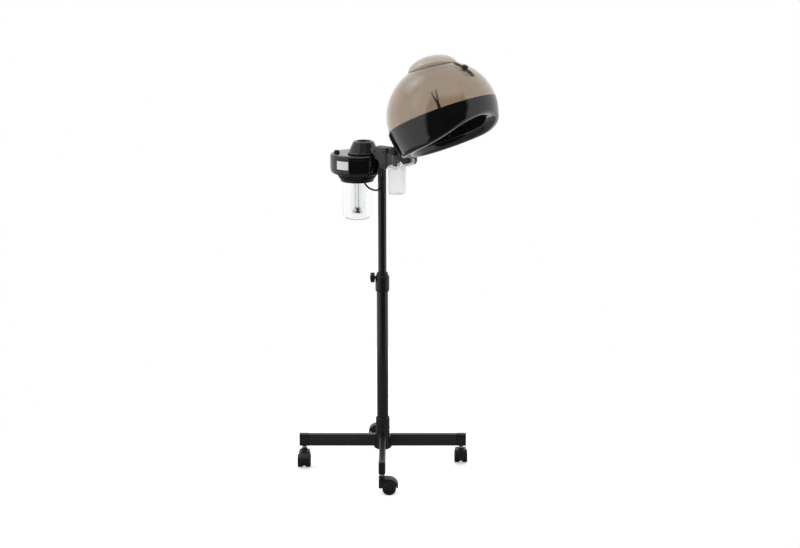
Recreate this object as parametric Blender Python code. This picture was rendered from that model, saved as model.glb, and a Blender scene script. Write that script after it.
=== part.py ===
"""Hooded hair steamer on a four-legged rolling stand, built piece by piece.

Metres, +Z up, floor at z = 0. The hood opens towards -Y. Everything hangs on three guides:
the stand's mast axis, the hood's tilt pivot and the hood's own (leaning) axis.
"""

import math

import bmesh
import bpy
from mathutils import Vector

GAP = 0.0003                      # clearance between pieces that touch
TURN = math.tau

# stand
MAST_Y = 0.0884                   # mast behind the middle of the whole outline
LEG_TURN = -141.0                 # heading of the front leg, degrees from +X
LEG_NAMES = ("front", "right", "rear", "left")
LEG_START = 0.0222
LEG_END = 0.2305
LEG_WIDTH = 0.019
LEG_HEIGHT = 0.038
LEG_WALL = 0.0016
LEG_TOP = 0.102
LEG_MIDDLE = LEG_TOP - LEG_HEIGHT / 2
CAP_END = 0.261
STEM_REACH = 0.246                # caster stem's distance from the mast axis
HUB_RADIUS = 0.0215
HUB_SKIRT = 0.028
HUB_TOP = 0.158
HUB_FLOOR = 0.057

# casters
WHEEL_RADIUS = 0.0205
WHEEL_WIDTH = 0.0155
WHEEL_SIDES = 20
TRAIL = 0.0215
WEB_HALF = 0.0042
FENDER_INNER = 0.0222
SHROUD_RADIUS = 0.0280            # cover over the wheels, about a point near the axle
SHROUD_TOP = 0.0497
SHROUD_LEAN = 9.0                 # inward lean of the cover's sides, degrees
HOUSING_TOP = 0.056
STEM_RADIUS = 0.004
AXLE_RADIUS = 0.003
CASTER_TURN = 90.0                # trail of each wheel pair, degrees from its leg

# mast
LOWER_RADIUS = 0.0175
LOWER_BORE = 0.0160
LOWER_BOTTOM = 0.0623
LOWER_TOP = 0.600
UPPER_RADIUS = 0.0127
UPPER_BORE = 0.0113
UPPER_BOTTOM = 0.200
UPPER_TOP = 1.000
COLLAR_RADIUS = 0.0215
COLLAR_BOTTOM = 0.563
COLLAR_TOP = 0.623
HEIGHT_KNOB_Z = 0.606
HEIGHT_KNOB_HEADING = 129.0       # degrees from +X
HEIGHT_KNOB_RADIUS = 0.0155
HEIGHT_KNOB_INNER = 0.0235
HEIGHT_KNOB_OUTER = 0.0375
STUD_RADIUS = 0.003

# head bracket, with forward distances written as negative y
BRACKET_HALF = 0.018
BRACKET_TOP = 1.011
BRACKET_LOW = 0.946
BRACKET_FRONT = -0.029
BRACKET_REAR = 0.021
PIVOT_Y = -0.066
PIVOT_Z = 1.007
TONGUE_HALF = 0.008
TONGUE_RADIUS = 0.013

# steam generator
CASE_Y = 0.0985
CASE_RADIUS = 0.0825
CASE_LOW = 0.920
CASE_TOP = 0.982
TOWER_Y = 0.0725
TOWER_FLANGE = 0.0488
TOWER_FLANGE_TOP = 0.988
TOWER_FOOT = 0.0462
TOWER_NECK = 0.0318
TOWER_TOP = 1.021
PIPE_RADIUS = 0.0155
PIPE_BORE = 0.0125
PIPE_Z = 0.992
VENT_LOW = 0.901
TANK_RADIUS = 0.046
TANK_WALL = 0.002
TANK_LOW = 0.7785
TANK_CORNER = 0.016
RING_PLAY = 0.0008                # lets the ring turn round the tank's facets
RISER_RADIUS = 0.021
RISER_WALL = 0.0015
RISER_LOW = 0.807
HEATER_LOW = 0.797
HEATER_TOP = 0.815
PLATE_LOW = 0.9410
PLATE_TOP = 0.9665
TIMER_X = -0.039
TIMER_Y = CASE_Y + 0.048

# drip cup under the hood pivot
CUP_Y = -0.0572
CUP_RADIUS = 0.0265
CUP_LOW = 0.874
LID_RADIUS = 0.0275
LID_LOW = 0.951
LID_TOP = 0.957
INLET = (-0.012, -0.074, 0.9595)

# hood
HOOD_TILT = 25.0                  # lean of the hood's axis at rest, degrees
HOOD_FORWARD = 0.1977             # pivot to hood axis, square to that axis
HOOD_RISE = 0.0407                # pivot to parting plane, along that axis
HOOD_RADIUS = 0.164
DOME_HEIGHT = 0.154
DOME_WALL = 0.0025
HOOD_SIDES = 36
RIM_DROP = 0.083
ARCH_LIFT = 0.034
ARCH_HALF = 88.0                  # half width of the face arch, degrees
ARM_HALF = 0.020
ARM_KNUCKLE = 0.014
CAP_RADIUS = 0.0733
CAP_FORWARD = 0.024
CAP_HEIGHT = 0.0195
CAP_FOOT = 0.018
CAP_WALL = 0.002
CAP_STEPS = (0, 18, 36, 54, 72, 90)
VENT_AT = 0.130                   # vent knob's distance from the hood axis
VENT_CENTRE_Y = -0.0087           # centre of the dome's curve at the vent slot
VENT_CENTRE_Z = -0.0056
NOZZLE_X = 0.0935
NOZZLE_Y = 0.0745

CABLE_ROUTE = (
    (-0.0262, 0.0470, 0.9060),
    (-0.0260, 0.0440, 0.8945),
    (-0.0245, 0.0300, 0.8840),
    (-0.0225, 0.0130, 0.8800),
    (-0.0210, 0.0000, 0.8815),
    (-0.0200, -0.0060, 0.8910),
    (-0.0195, -0.0080, 0.9050),
    (-0.0195, -0.0080, 0.9196),
)
CABLE_DIAMETER = 0.0055
HOSE_ROUTE = (
    (-0.0290, -0.1400, 0.9938),
    (-0.0291, -0.1430, 0.9874),
    (-0.0290, -0.1405, 0.9800),
    (-0.0286, -0.1270, 0.9740),
    (-0.0280, -0.1110, 0.9700),
    (-0.0255, -0.0970, 0.9670),
    (-0.0205, -0.0860, 0.9685),
    (-0.0150, -0.0780, 0.9685),
    (-0.0121, -0.0742, 0.9645),
    (-0.0120, -0.0740, 0.9601),
)
HOSE_DIAMETER = 0.0085

COLOURS = {
    "satin_black": ((0.030, 0.030, 0.032), 0.42, 0.3),
    "black_plastic": ((0.022, 0.022, 0.024), 0.45, 0.0),
    "gloss_black": ((0.012, 0.012, 0.013), 0.12, 0.0),
    "bracket_grey": ((0.050, 0.050, 0.053), 0.50, 0.0),
    "zinc": ((0.62, 0.63, 0.65), 0.28, 1.0),
    "wheel": ((0.030, 0.030, 0.032), 0.60, 0.0),
    "smoke": ((0.36, 0.29, 0.24), 0.08, 0.0),
    "clear": ((0.86, 0.88, 0.89), 0.06, 0.0),
    "milky": ((0.82, 0.83, 0.84), 0.30, 0.0),
    "label": ((0.85, 0.85, 0.85), 0.55, 0.0),
    "rubber": ((0.020, 0.020, 0.021), 0.70, 0.0),
}


def clear_scene():
    for item in list(bpy.data.objects):
        bpy.data.objects.remove(item, do_unlink=True)


def material(name):
    found = bpy.data.materials.get(name)
    if found:
        return found
    colour, roughness, metallic = COLOURS[name]
    made = bpy.data.materials.new(name)
    made.use_nodes = True
    surface = made.node_tree.nodes["Principled BSDF"]
    surface.inputs["Base Color"].default_value = (*colour, 1.0)
    surface.inputs["Roughness"].default_value = roughness
    surface.inputs["Metallic"].default_value = metallic
    return made


def guide(name, parent=None, location=(0, 0, 0), turn=(0, 0, 0)):
    empty = bpy.data.objects.new(name, None)
    empty.parent = parent
    empty.location = location
    empty.rotation_euler = [math.radians(angle) for angle in turn]
    bpy.context.scene.collection.objects.link(empty)
    return empty


def finish_mesh(shape, name):
    bmesh.ops.recalc_face_normals(shape, faces=shape.faces)
    mesh = bpy.data.meshes.new(name)
    shape.to_mesh(mesh)
    shape.free()
    mesh.shade_smooth()
    mesh.set_sharp_from_angle(angle=math.radians(35))
    return mesh


def revolved(outline, sides, start=0.0, sweep=360.0, lift=None):
    """Closed outline of (radius, height) turned about Z; lift shifts heights by heading."""
    shape = bmesh.new()
    whole = sweep >= 360.0
    rows = []
    for step in range(sides if whole else sides + 1):
        heading = math.radians(start + sweep * step / sides)
        row = []
        for place, (radius, height) in enumerate(outline):
            if radius == 0 and rows:
                row.append(rows[0][place])
                continue
            rise = lift(heading, height) if lift else 0.0
            place_x = radius * math.cos(heading)
            place_y = radius * math.sin(heading)
            row.append(shape.verts.new((place_x, place_y, height + rise)))
        rows.append(row)
    for step in range(sides):
        near = rows[step]
        far = rows[(step + 1) % len(rows)]
        for place in range(len(outline)):
            after = (place + 1) % len(outline)
            corners = list(dict.fromkeys((near[place], far[place], far[after], near[after])))
            if len(corners) > 2:
                shape.faces.new(corners)
    if not whole:
        shape.faces.new(rows[0])
        shape.faces.new(rows[-1])
    return finish_mesh(shape, "revolved")


def prism(outline, low, high, axis="X"):
    """Closed outline extruded along an axis: (y, z) pairs along X, (z, x) along Y, (x, y) along Z."""
    places = {
        "X": lambda a, b, c: (c, a, b),
        "Y": lambda a, b, c: (b, c, a),
        "Z": lambda a, b, c: (a, b, c),
    }
    shape = bmesh.new()
    ends = [[shape.verts.new(places[axis](a, b, level)) for a, b in outline] for level in (low, high)]
    shape.faces.new(ends[0])
    shape.faces.new(ends[1])
    for place in range(len(outline)):
        after = (place + 1) % len(outline)
        shape.faces.new((ends[0][place], ends[0][after], ends[1][after], ends[1][place]))
    return finish_mesh(shape, "prism")


def block(low, high):
    """Box between two corners."""
    corners = ((low[0], low[1]), (high[0], low[1]), (high[0], high[1]), (low[0], high[1]))
    return prism(corners, low[2], high[2], "Z")


def round_bar(radius, low, high, axis="X", sides=24, centre=(0, 0)):
    return prism(circle(radius, sides, centre), low, high, axis)


def circle(radius, sides, centre=(0, 0)):
    angles = [TURN * step / sides for step in range(sides)]
    return [(centre[0] + radius * math.cos(a), centre[1] + radius * math.sin(a)) for a in angles]


def arc(centre, radius, start, end, steps):
    """Points on an arc, angles in degrees, both ends included."""
    angles = [math.radians(start + (end - start) * step / steps) for step in range(steps + 1)]
    return [(centre[0] + radius * math.cos(a), centre[1] + radius * math.sin(a)) for a in angles]


def solid(name, mesh, colour, parent, location=(0, 0, 0), turn=(0, 0, 0)):
    mesh.materials.clear()
    mesh.materials.append(material(colour))
    item = bpy.data.objects.new(name, mesh)
    item.parent = parent
    item.location = location
    item.rotation_euler = [math.radians(angle) for angle in turn]
    bpy.context.scene.collection.objects.link(item)
    return item


def tool(target, mesh, operation="DIFFERENCE", location=(0, 0, 0), turn=(0, 0, 0)):
    """Boolean with a hidden guide solid that sits in the target's own frame."""
    helper = bpy.data.objects.new(f"{target.name}_tool", mesh)
    helper.parent = target
    helper.location = location
    helper.rotation_euler = [math.radians(angle) for angle in turn]
    helper.hide_render = True
    helper.display_type = "WIRE"
    bpy.context.scene.collection.objects.link(helper)
    change = target.modifiers.new("tool", "BOOLEAN")
    change.operation = operation
    change.object = helper


def soften(item, width, segments=1):
    bevel = item.modifiers.new("soften", "BEVEL")
    bevel.width = width
    bevel.segments = segments
    bevel.limit_method = "ANGLE"
    bevel.angle_limit = math.radians(40)
    bevel.use_clamp_overlap = True


def baked(item):
    """Evaluated mesh of an object, which is then removed with its tools."""
    bpy.context.view_layer.update()
    evaluated = item.evaluated_get(bpy.context.evaluated_depsgraph_get())
    mesh = bpy.data.meshes.new_from_object(evaluated)
    for piece in [*item.children, item]:
        bpy.data.objects.remove(piece, do_unlink=True)
    return mesh


def smooth_route(points, spacing):
    """Points about spacing apart on a Catmull-Rom curve through the given ones."""
    places = [Vector(point) for point in points]
    places = [2 * places[0] - places[1], *places, 2 * places[-1] - places[-2]]
    route = []
    for before, start, end, after in zip(places, places[1:], places[2:], places[3:]):
        steps = max(1, round((end - start).length / spacing))
        for step in range(steps):
            t = step / steps
            bend = 2 * start + (end - before) * t + (2 * before - 5 * start + 4 * end - after) * t ** 2
            bend += (3 * start - before - 3 * end + after) * t ** 3
            route.append(bend / 2)
    route.append(places[-2])
    return route


def tube_along(name, points, diameter, colour, parent, resolution):
    curve = bpy.data.curves.new(name, "CURVE")
    curve.dimensions = "3D"
    curve.bevel_depth = diameter / 2
    curve.bevel_resolution = resolution
    curve.use_fill_caps = True
    route = smooth_route(points, diameter * 1.2)
    spline = curve.splines.new("POLY")
    spline.points.add(len(route) - 1)
    for place, point in zip(spline.points, route):
        place.co = (*point, 1.0)
    curve.materials.append(material(colour))
    item = bpy.data.objects.new(name, curve)
    item.parent = parent
    bpy.context.scene.collection.objects.link(item)


# ---------------------------------------------------------------- rolling base

def build_hub(stand):
    outline = [
        (LOWER_RADIUS + GAP, HUB_TOP), (HUB_RADIUS - 0.0012, HUB_TOP), (HUB_RADIUS, HUB_TOP - 0.0015),
        (HUB_RADIUS, LEG_TOP + 0.002), (HUB_SKIRT, HUB_FLOOR + 0.004), (HUB_SKIRT - 0.003, HUB_FLOOR),
        (0.006, HUB_FLOOR), (0.006, LOWER_BOTTOM - GAP), (LOWER_RADIUS + GAP, LOWER_BOTTOM - GAP),
    ]
    hub = solid("hub", revolved(outline, 24), "satin_black", stand, turn=(0, 0, LEG_TURN))
    half = LEG_WIDTH / 2 + GAP
    low = LEG_TOP - LEG_HEIGHT - GAP
    for step in range(4):
        slot = block((LEG_START - GAP, -half, low), (0.05, half, LEG_TOP + GAP))
        tool(hub, slot, turn=(0, 0, 90 * step))


def rounded_section(width, height, radius):
    """Rounded rectangle as (y, z) pairs, centred."""
    corner_y = width / 2 - radius
    corner_z = height / 2 - radius
    corners = (
        (corner_y, corner_z, 0), (-corner_y, corner_z, 90),
        (-corner_y, -corner_z, 180), (corner_y, -corner_z, 270),
    )
    section = []
    for y, z, angle in corners:
        section += arc((y, z), radius, angle, angle + 90, 2)
    return section


def leg_tube_mesh():
    outside = rounded_section(LEG_WIDTH, LEG_HEIGHT, 0.003)
    inside = rounded_section(LEG_WIDTH - 2 * LEG_WALL, LEG_HEIGHT - 2 * LEG_WALL, 0.0014)
    shape = bmesh.new()
    loops = []
    for x in (LEG_START, LEG_END):
        for section in (outside, inside):
            loops.append([shape.verts.new((x, y, z + LEG_MIDDLE)) for y, z in section])
    for near, far in ((0, 2), (2, 3), (3, 1), (1, 0)):
        for place in range(len(outside)):
            after = (place + 1) % len(outside)
            shape.faces.new((loops[near][place], loops[near][after], loops[far][after], loops[far][place]))
    return finish_mesh(shape, "leg_tube")


def leg_cap_mesh():
    cap = solid("cap_blank", prism(
        [(y, z + LEG_MIDDLE) for y, z in rounded_section(LEG_WIDTH + 0.0012, LEG_HEIGHT + 0.0012, 0.0035)],
        LEG_END + GAP, CAP_END), "black_plastic", None)
    soften(cap, 0.0015)
    inner = 2 * (LEG_WALL + GAP)
    plug = [(y, z + LEG_MIDDLE) for y, z in rounded_section(LEG_WIDTH - inner, LEG_HEIGHT - inner, 0.0014)]
    plug = prism(plug, LEG_END - 0.014, LEG_END + 0.004)
    tool(cap, plug, "UNION")
    tool(cap, round_bar(STEM_RADIUS + GAP, 0.05, 0.0885, "Z", 12), location=(STEM_REACH, 0, 0))
    return baked(cap)


def stem_mesh():
    outline = [
        (0, 0.034), (STEM_RADIUS, 0.034), (STEM_RADIUS, HOUSING_TOP + 0.0006),
        (0.0065, HOUSING_TOP + 0.0006), (0.0065, 0.0615), (0.0055, 0.0628),
        (STEM_RADIUS, 0.0628), (STEM_RADIUS, 0.0875), (0, 0.0882),
    ]
    return revolved(outline, 12)


def housing_mesh():
    """Swivelling cover: boss round the stem, web between the wheels, fender over them."""
    housing = solid("housing_blank", revolved([
        (0, 0.018), (0.0085, 0.018), (0.0100, 0.024),
        (0.0100, 0.0530), (0.0085, HOUSING_TOP), (0, HOUSING_TOP),
    ], 12), "black_plastic", None)
    axle = (TRAIL, WHEEL_RADIUS)
    web = [(z, x) for x, z in [(0.002, 0.012), *arc(axle, 0.0165, -100, 80, 6), (0.004, 0.044)]]
    tool(housing, prism(web, -WEB_HALF, WEB_HALF, "Y"), "UNION")
    half = WEB_HALF + WHEEL_WIDTH + 0.0007
    fender = [
        *arc((TRAIL - 0.001, WHEEL_RADIUS + 0.001), SHROUD_RADIUS, 4, 92, 6), (-0.0065, SHROUD_TOP),
        (-0.0098, SHROUD_TOP - 0.0035), (-0.0098, 0.0235), (-0.0020, 0.0215), *arc(axle, FENDER_INNER, 160, 8, 7),
    ]
    tool(housing, prism([(z, x) for x, z in fender], -half, half, "Y"), "UNION")
    for side in (-1, 1):
        low_y, high_y = sorted((0.0, side * 0.03))
        tool(housing, block((-0.03, low_y, 0.0), (0.08, high_y, 0.05)), location=(0, side * half, 0.020), turn=(side * SHROUD_LEAN, 0, 0))
    spoke = arc(axle, FENDER_INNER + 0.001, 40, 150, 5) + arc(axle, 0.010, 150, 40, 4)
    tool(housing, prism([(z, x) for x, z in spoke], -WEB_HALF + 0.0002, WEB_HALF - 0.0002, "Y"), "UNION")
    for side in (-1, 1):
        near, far = sorted((side * (WEB_HALF - 0.0001), side * (half + 0.001)))
        clearance = round_bar(WHEEL_RADIUS + 0.0012, near, far, "Y", 24, (WHEEL_RADIUS, TRAIL))
        tool(housing, clearance)
    tool(housing, round_bar(STEM_RADIUS + GAP, 0.033, 0.07, "Z", 12))
    tool(housing, round_bar(AXLE_RADIUS + GAP, -0.03, 0.03, "Y", 12, (WHEEL_RADIUS, TRAIL)))
    return baked(housing)


def wheel_mesh():
    """Half of a twin wheel, turned so that a flat of its rim faces down."""
    tread = WHEEL_RADIUS / math.cos(math.pi / WHEEL_SIDES)
    bore = AXLE_RADIUS + GAP
    outline = [
        (bore, 0), (tread - 0.0018, 0), (tread, 0.0018), (tread, WHEEL_WIDTH - 0.0020),
        (tread - 0.0020, WHEEL_WIDTH), (0.0080, WHEEL_WIDTH), (0, WHEEL_WIDTH - 0.0006),
        (0, 0.0123), (bore, 0.0123),
    ]
    return revolved(outline, WHEEL_SIDES, start=180 / WHEEL_SIDES)


def build_base(stand):
    build_hub(stand)
    shared = {
        "tube": leg_tube_mesh(), "cap": leg_cap_mesh(), "stem": stem_mesh(),
        "housing": housing_mesh(), "wheel": wheel_mesh(),
        "axle": round_bar(AXLE_RADIUS, -0.016, 0.016, "Y", 12),
    }
    for step, name in enumerate(LEG_NAMES):
        leg = guide(f"leg_{name}_line", stand, turn=(0, 0, LEG_TURN + 90 * step))
        solid(f"leg_{name}", shared["tube"], "satin_black", leg)
        solid(f"leg_cap_{name}", shared["cap"], "black_plastic", leg)
        swivel = guide(f"caster_{name}_axis", leg, (STEM_REACH, 0, 0), (0, 0, CASTER_TURN))
        solid(f"caster_stem_{name}", shared["stem"], "zinc", leg, (STEM_REACH, 0, 0))
        solid(f"caster_housing_{name}", shared["housing"], "black_plastic", swivel)
        centre = (TRAIL, 0, WHEEL_RADIUS)
        solid(f"caster_axle_{name}", shared["axle"], "zinc", swivel, centre)
        offset = WEB_HALF + GAP
        for letter, side in (("a", 1), ("b", -1)):
            place = (TRAIL, side * offset, WHEEL_RADIUS)
            turn = (-90 * side, 0, 0)
            solid(f"caster_wheel_{name}_{letter}", shared["wheel"], "wheel", swivel, place, turn)


# ------------------------------------------------------------------------ mast

def build_mast(stand):
    lower = [
        (LOWER_BORE, LOWER_BOTTOM), (LOWER_RADIUS, LOWER_BOTTOM),
        (LOWER_RADIUS, LOWER_TOP), (LOWER_BORE, LOWER_TOP),
    ]
    solid("lower_tube", revolved(lower, 24), "satin_black", stand)
    upper = [
        (UPPER_BORE, UPPER_BOTTOM), (UPPER_RADIUS, UPPER_BOTTOM),
        (UPPER_RADIUS, UPPER_TOP), (UPPER_BORE, UPPER_TOP),
    ]
    solid("upper_tube", revolved(upper, 24), "satin_black", stand)
    fit = LOWER_RADIUS + GAP
    throat = UPPER_RADIUS + GAP
    collar = solid("height_collar", revolved([
        (fit, COLLAR_BOTTOM), (COLLAR_RADIUS - 0.0022, COLLAR_BOTTOM),
        (COLLAR_RADIUS, COLLAR_BOTTOM + 0.004), (COLLAR_RADIUS, 0.611),
        (COLLAR_RADIUS - 0.0015, 0.613), (0.0180, 0.6145), (0.0168, COLLAR_TOP - 0.001),
        (0.0158, COLLAR_TOP), (throat, COLLAR_TOP), (throat, LOWER_TOP + GAP), (fit, LOWER_TOP + GAP),
    ], 24), "black_plastic", stand, turn=(0, 0, HEIGHT_KNOB_HEADING))
    tool(collar, round_bar(STUD_RADIUS + GAP, 0.010, 0.026, "X", 16, (0, HEIGHT_KNOB_Z)))
    grip = lobed_knob(HEIGHT_KNOB_RADIUS, HEIGHT_KNOB_INNER, HEIGHT_KNOB_OUTER, 6)
    knob_line = (0, 0, HEIGHT_KNOB_HEADING)
    knob = solid("height_knob", grip, "black_plastic", stand, (0, 0, HEIGHT_KNOB_Z), knob_line)
    tool(knob, round_bar(STUD_RADIUS, throat, HEIGHT_KNOB_INNER + 0.003, "X", 16), "UNION")


def lobed_knob(radius, near, far, lobes):
    """Knob with finger lobes, its axis along X."""
    steps = lobes * 4
    rim = []
    for step in range(steps):
        angle = TURN * step / steps
        reach = radius * (0.91 + 0.09 * math.cos(lobes * angle))
        rim.append((reach * math.cos(angle), reach * math.sin(angle)))
    return prism(rim, near, far, "X")


# ---------------------------------------------------------------- head bracket

def build_bracket(head):
    side = [
        (BRACKET_REAR, BRACKET_TOP), (BRACKET_FRONT, BRACKET_TOP), (BRACKET_FRONT, BRACKET_LOW + 0.010),
        (BRACKET_FRONT + 0.007, BRACKET_LOW), (-0.003, BRACKET_LOW), (-0.003, 0.964), (0.004, 0.972),
        (0.0150, 0.974), (0.0150, CASE_TOP + 0.0005), (BRACKET_REAR, CASE_TOP + 0.0005),
    ]
    bracket = solid("head_bracket", prism(side, -BRACKET_HALF, BRACKET_HALF), "bracket_grey", head)
    soften(bracket, 0.002)
    tongue = block((-TONGUE_HALF, PIVOT_Y, 0.995), (TONGUE_HALF, BRACKET_FRONT + 0.004, 1.0095))
    tool(bracket, tongue, "UNION")
    tool(bracket, round_bar(TONGUE_RADIUS, -TONGUE_HALF, TONGUE_HALF, "X", 28, (PIVOT_Y, PIVOT_Z)), "UNION")
    hanger = block((-TONGUE_HALF + 0.001, -0.064, LID_TOP + GAP), (TONGUE_HALF - 0.001, -0.048, 1.000))
    tool(bracket, hanger, "UNION")
    tool(bracket, round_bar(UPPER_RADIUS + GAP, 0.90, UPPER_TOP + 0.003, "Z", 32))
    tool(bracket, round_bar(STUD_RADIUS + GAP, -0.03, 0.03, "X", 16, (PIVOT_Y, PIVOT_Z)))


def build_steam_pipe(head):
    outer = circle(PIPE_RADIUS, 28, (PIPE_Z, 0))
    pipe = solid("steam_pipe", prism(outer, BRACKET_REAR + GAP, 0.045, "Y"), "bracket_grey", head)
    tool(pipe, prism(circle(PIPE_BORE, 24, (PIPE_Z, 0)), 0.0, 0.06, "Y"))
    tool(pipe, block((-0.03, 0.0, 0.95), (0.03, 0.06, TOWER_FLANGE_TOP + GAP)))
    cone = [
        (0, 0.98), (TOWER_FOOT + 0.0005, 0.98), (TOWER_FOOT + 0.0005, TOWER_FLANGE_TOP),
        (TOWER_NECK + 0.0005, TOWER_TOP - 0.003), (0, TOWER_TOP),
    ]
    tool(pipe, revolved(cone, 36), location=(0, TOWER_Y, 0))


# ------------------------------------------------------------- steam generator

def build_generator(head):
    wall = 0.003
    solid("generator_cover", revolved([
        (0.0650, CASE_LOW), (CASE_RADIUS - 0.0055, CASE_LOW + 0.002), (CASE_RADIUS - 0.0015, CASE_LOW + 0.008),
        (CASE_RADIUS, CASE_LOW + 0.018), (CASE_RADIUS, CASE_TOP - 0.008),
        (CASE_RADIUS - 0.0017, CASE_TOP - 0.003), (CASE_RADIUS - 0.0065, CASE_TOP), (0.018, CASE_TOP),
        (0.018, CASE_TOP - wall), (CASE_RADIUS - 0.009, CASE_TOP - wall),
        (CASE_RADIUS - wall, CASE_TOP - 0.009), (CASE_RADIUS - wall, CASE_LOW + 0.018),
        (CASE_RADIUS - 0.007, CASE_LOW + 0.005), (0.0650, CASE_LOW + wall),
    ], 36), "gloss_black", head, (0, CASE_Y, 0))
    solid("vent_ring", revolved([
        (RISER_RADIUS + GAP, VENT_LOW), (0.0510, VENT_LOW), (0.0520, VENT_LOW + 0.001),
        (0.0646, CASE_LOW - GAP), (0.0612, CASE_LOW - GAP), (0.0500, VENT_LOW + 0.003),
        (RISER_RADIUS + GAP, VENT_LOW + 0.003),
    ], 28), "black_plastic", head, (0, CASE_Y, 0))
    solid("tank_ring", revolved([
        (TANK_RADIUS + RING_PLAY, 0.8955), (0.0495, 0.8955), (0.0505, 0.8965), (0.0505, VENT_LOW - GAP),
        (TANK_RADIUS + RING_PLAY, VENT_LOW - GAP),
    ], 24), "black_plastic", head, (0, CASE_Y, 0))
    corner = (TANK_RADIUS - TANK_CORNER, TANK_LOW + TANK_CORNER)
    outside = arc(corner, TANK_CORNER, -90, 0, 3)
    inside = arc(corner, TANK_CORNER - TANK_WALL, 0, -90, 3)
    lip = VENT_LOW - 2 * GAP
    tank = [(0, TANK_LOW), *outside, (TANK_RADIUS, lip), (TANK_RADIUS - TANK_WALL, lip)]
    tank += [*inside, (0, TANK_LOW + TANK_WALL)]
    solid("water_tank", revolved(tank, 24), "clear", head, (0, CASE_Y, 0))
    riser_top = CASE_TOP - 0.006
    solid("steam_riser", revolved([
        (RISER_RADIUS - RISER_WALL, RISER_LOW), (RISER_RADIUS, RISER_LOW), (RISER_RADIUS, riser_top),
        (RISER_RADIUS - RISER_WALL, riser_top),
    ], 24), "clear", head, (0, CASE_Y, 0))
    heater = solid("heater", revolved([
        (0, HEATER_LOW), (0.0165, HEATER_LOW), (0.0175, HEATER_LOW + 0.001), (0.0175, HEATER_LOW + 0.005),
        (0.0120, HEATER_LOW + 0.006), (0.0120, HEATER_TOP - 0.002), (0.0105, HEATER_TOP), (0, HEATER_TOP),
    ], 16), "zinc", head, (0, CASE_Y, 0))
    tool(heater, round_bar(0.0021, HEATER_TOP - 0.003, riser_top, "Z", 10, (0.006, 0)), "UNION")


def build_tower(head):
    solid("steam_tower", revolved([
        (0.0400, CASE_TOP + GAP), (TOWER_FLANGE - 0.001, CASE_TOP + GAP), (TOWER_FLANGE, CASE_TOP + 0.0015),
        (TOWER_FLANGE, TOWER_FLANGE_TOP - 0.0012), (TOWER_FLANGE - 0.0012, TOWER_FLANGE_TOP),
        (TOWER_FOOT, TOWER_FLANGE_TOP), (TOWER_NECK, TOWER_TOP - 0.003),
        (TOWER_NECK - 0.0022, TOWER_TOP - 0.0005), (TOWER_NECK - 0.005, TOWER_TOP),
        (0.0225, TOWER_TOP - 0.0008), (0.0205, TOWER_TOP - 0.006),
        (0.0130, TOWER_TOP - 0.008), (0.0130, TOWER_TOP - 0.0105), (0.0270, TOWER_TOP - 0.0100),
        (0.0400, TOWER_FLANGE_TOP),
    ], 24), "gloss_black", head, (0, TOWER_Y, 0))
    solid("timer_knob", revolved([
        (0, CASE_TOP + GAP), (0.0095, CASE_TOP + GAP),
        (0.0095, CASE_TOP + 0.0018), (0.0082, CASE_TOP + 0.0028),
        (0.0078, CASE_TOP + 0.0068), (0.0068, CASE_TOP + 0.0078), (0, CASE_TOP + 0.0078),
    ], 24), "black_plastic", head, (TIMER_X, TIMER_Y, 0))
    label = [
        (CASE_RADIUS + GAP, PLATE_LOW), (CASE_RADIUS + 0.0008, PLATE_LOW),
        (CASE_RADIUS + 0.0008, PLATE_TOP), (CASE_RADIUS + GAP, PLATE_TOP),
    ]
    solid("rating_plate", revolved(label, 4, start=173.5, sweep=28.0), "label", head, (0, CASE_Y, 0))


def build_cup(head):
    solid("drip_cup", revolved([
        (0, CUP_LOW), (CUP_RADIUS - 0.005, CUP_LOW), (CUP_RADIUS - 0.0015, CUP_LOW + 0.002),
        (CUP_RADIUS, CUP_LOW + 0.006), (CUP_RADIUS, LID_LOW - GAP), (CUP_RADIUS - 0.0018, LID_LOW - GAP),
        (CUP_RADIUS - 0.0018, CUP_LOW + 0.0055), (CUP_RADIUS - 0.0050, CUP_LOW + 0.002),
        (0, CUP_LOW + 0.002),
    ], 24), "milky", head, (0, CUP_Y, 0))
    plug = CUP_RADIUS - 0.0018 - GAP
    lid = solid("drip_cup_lid", revolved([
        (0, LID_LOW - 0.0005), (plug - 0.002, LID_LOW - 0.0005),
        (plug - 0.002, LID_LOW - 0.006), (plug, LID_LOW - 0.006), (plug, LID_LOW),
        (LID_RADIUS, LID_LOW), (LID_RADIUS, LID_TOP - 0.001),
        (LID_RADIUS - 0.001, LID_TOP), (0, LID_TOP),
    ], 20), "milky", head, (0, CUP_Y, 0))
    spot = (INLET[0], INLET[1] - CUP_Y)
    tool(lid, round_bar(0.0058, LID_LOW + 0.002, INLET[2], "Z", 14, spot), "UNION")
    tool(lid, round_bar(0.0030, LID_LOW - 0.01, INLET[2] + 0.01, "Z", 12, spot))


def build_cables(head):
    solid("cable_boot", revolved([
        (0, 0.9200), (0.0045, 0.9200), (0.0066, 0.9360), (0.0072, 0.9390), (0.0072, BRACKET_LOW - GAP),
        (0, BRACKET_LOW - GAP),
    ], 20), "rubber", head, (CABLE_ROUTE[-1][0], CABLE_ROUTE[-1][1], 0))
    tube_along("link_cable", CABLE_ROUTE, CABLE_DIAMETER, "rubber", head, 2)
    tube_along("drain_hose", HOSE_ROUTE, HOSE_DIAMETER, "clear", head, 2)


# ------------------------------------------------------------------------ hood

def band_outside():
    """Outer line of the dark band below the parting plane, as (radius, height)."""
    return [
        (HOOD_RADIUS, 0.0), (0.1637, -0.012), (0.1620, -0.030), (0.1592, -0.047), (0.1556, -0.063),
        (0.1532, -0.0735), (0.1498, -0.0800), (0.1440, -RIM_DROP),
    ]


def plate_line():
    """Stretch of the band's outer line that the rear plate covers."""
    middle = [point for point in band_outside() if -0.070 < point[1] < -0.005]
    return [(0.1640, -0.005), *middle, (0.1539, -0.070)]


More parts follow.
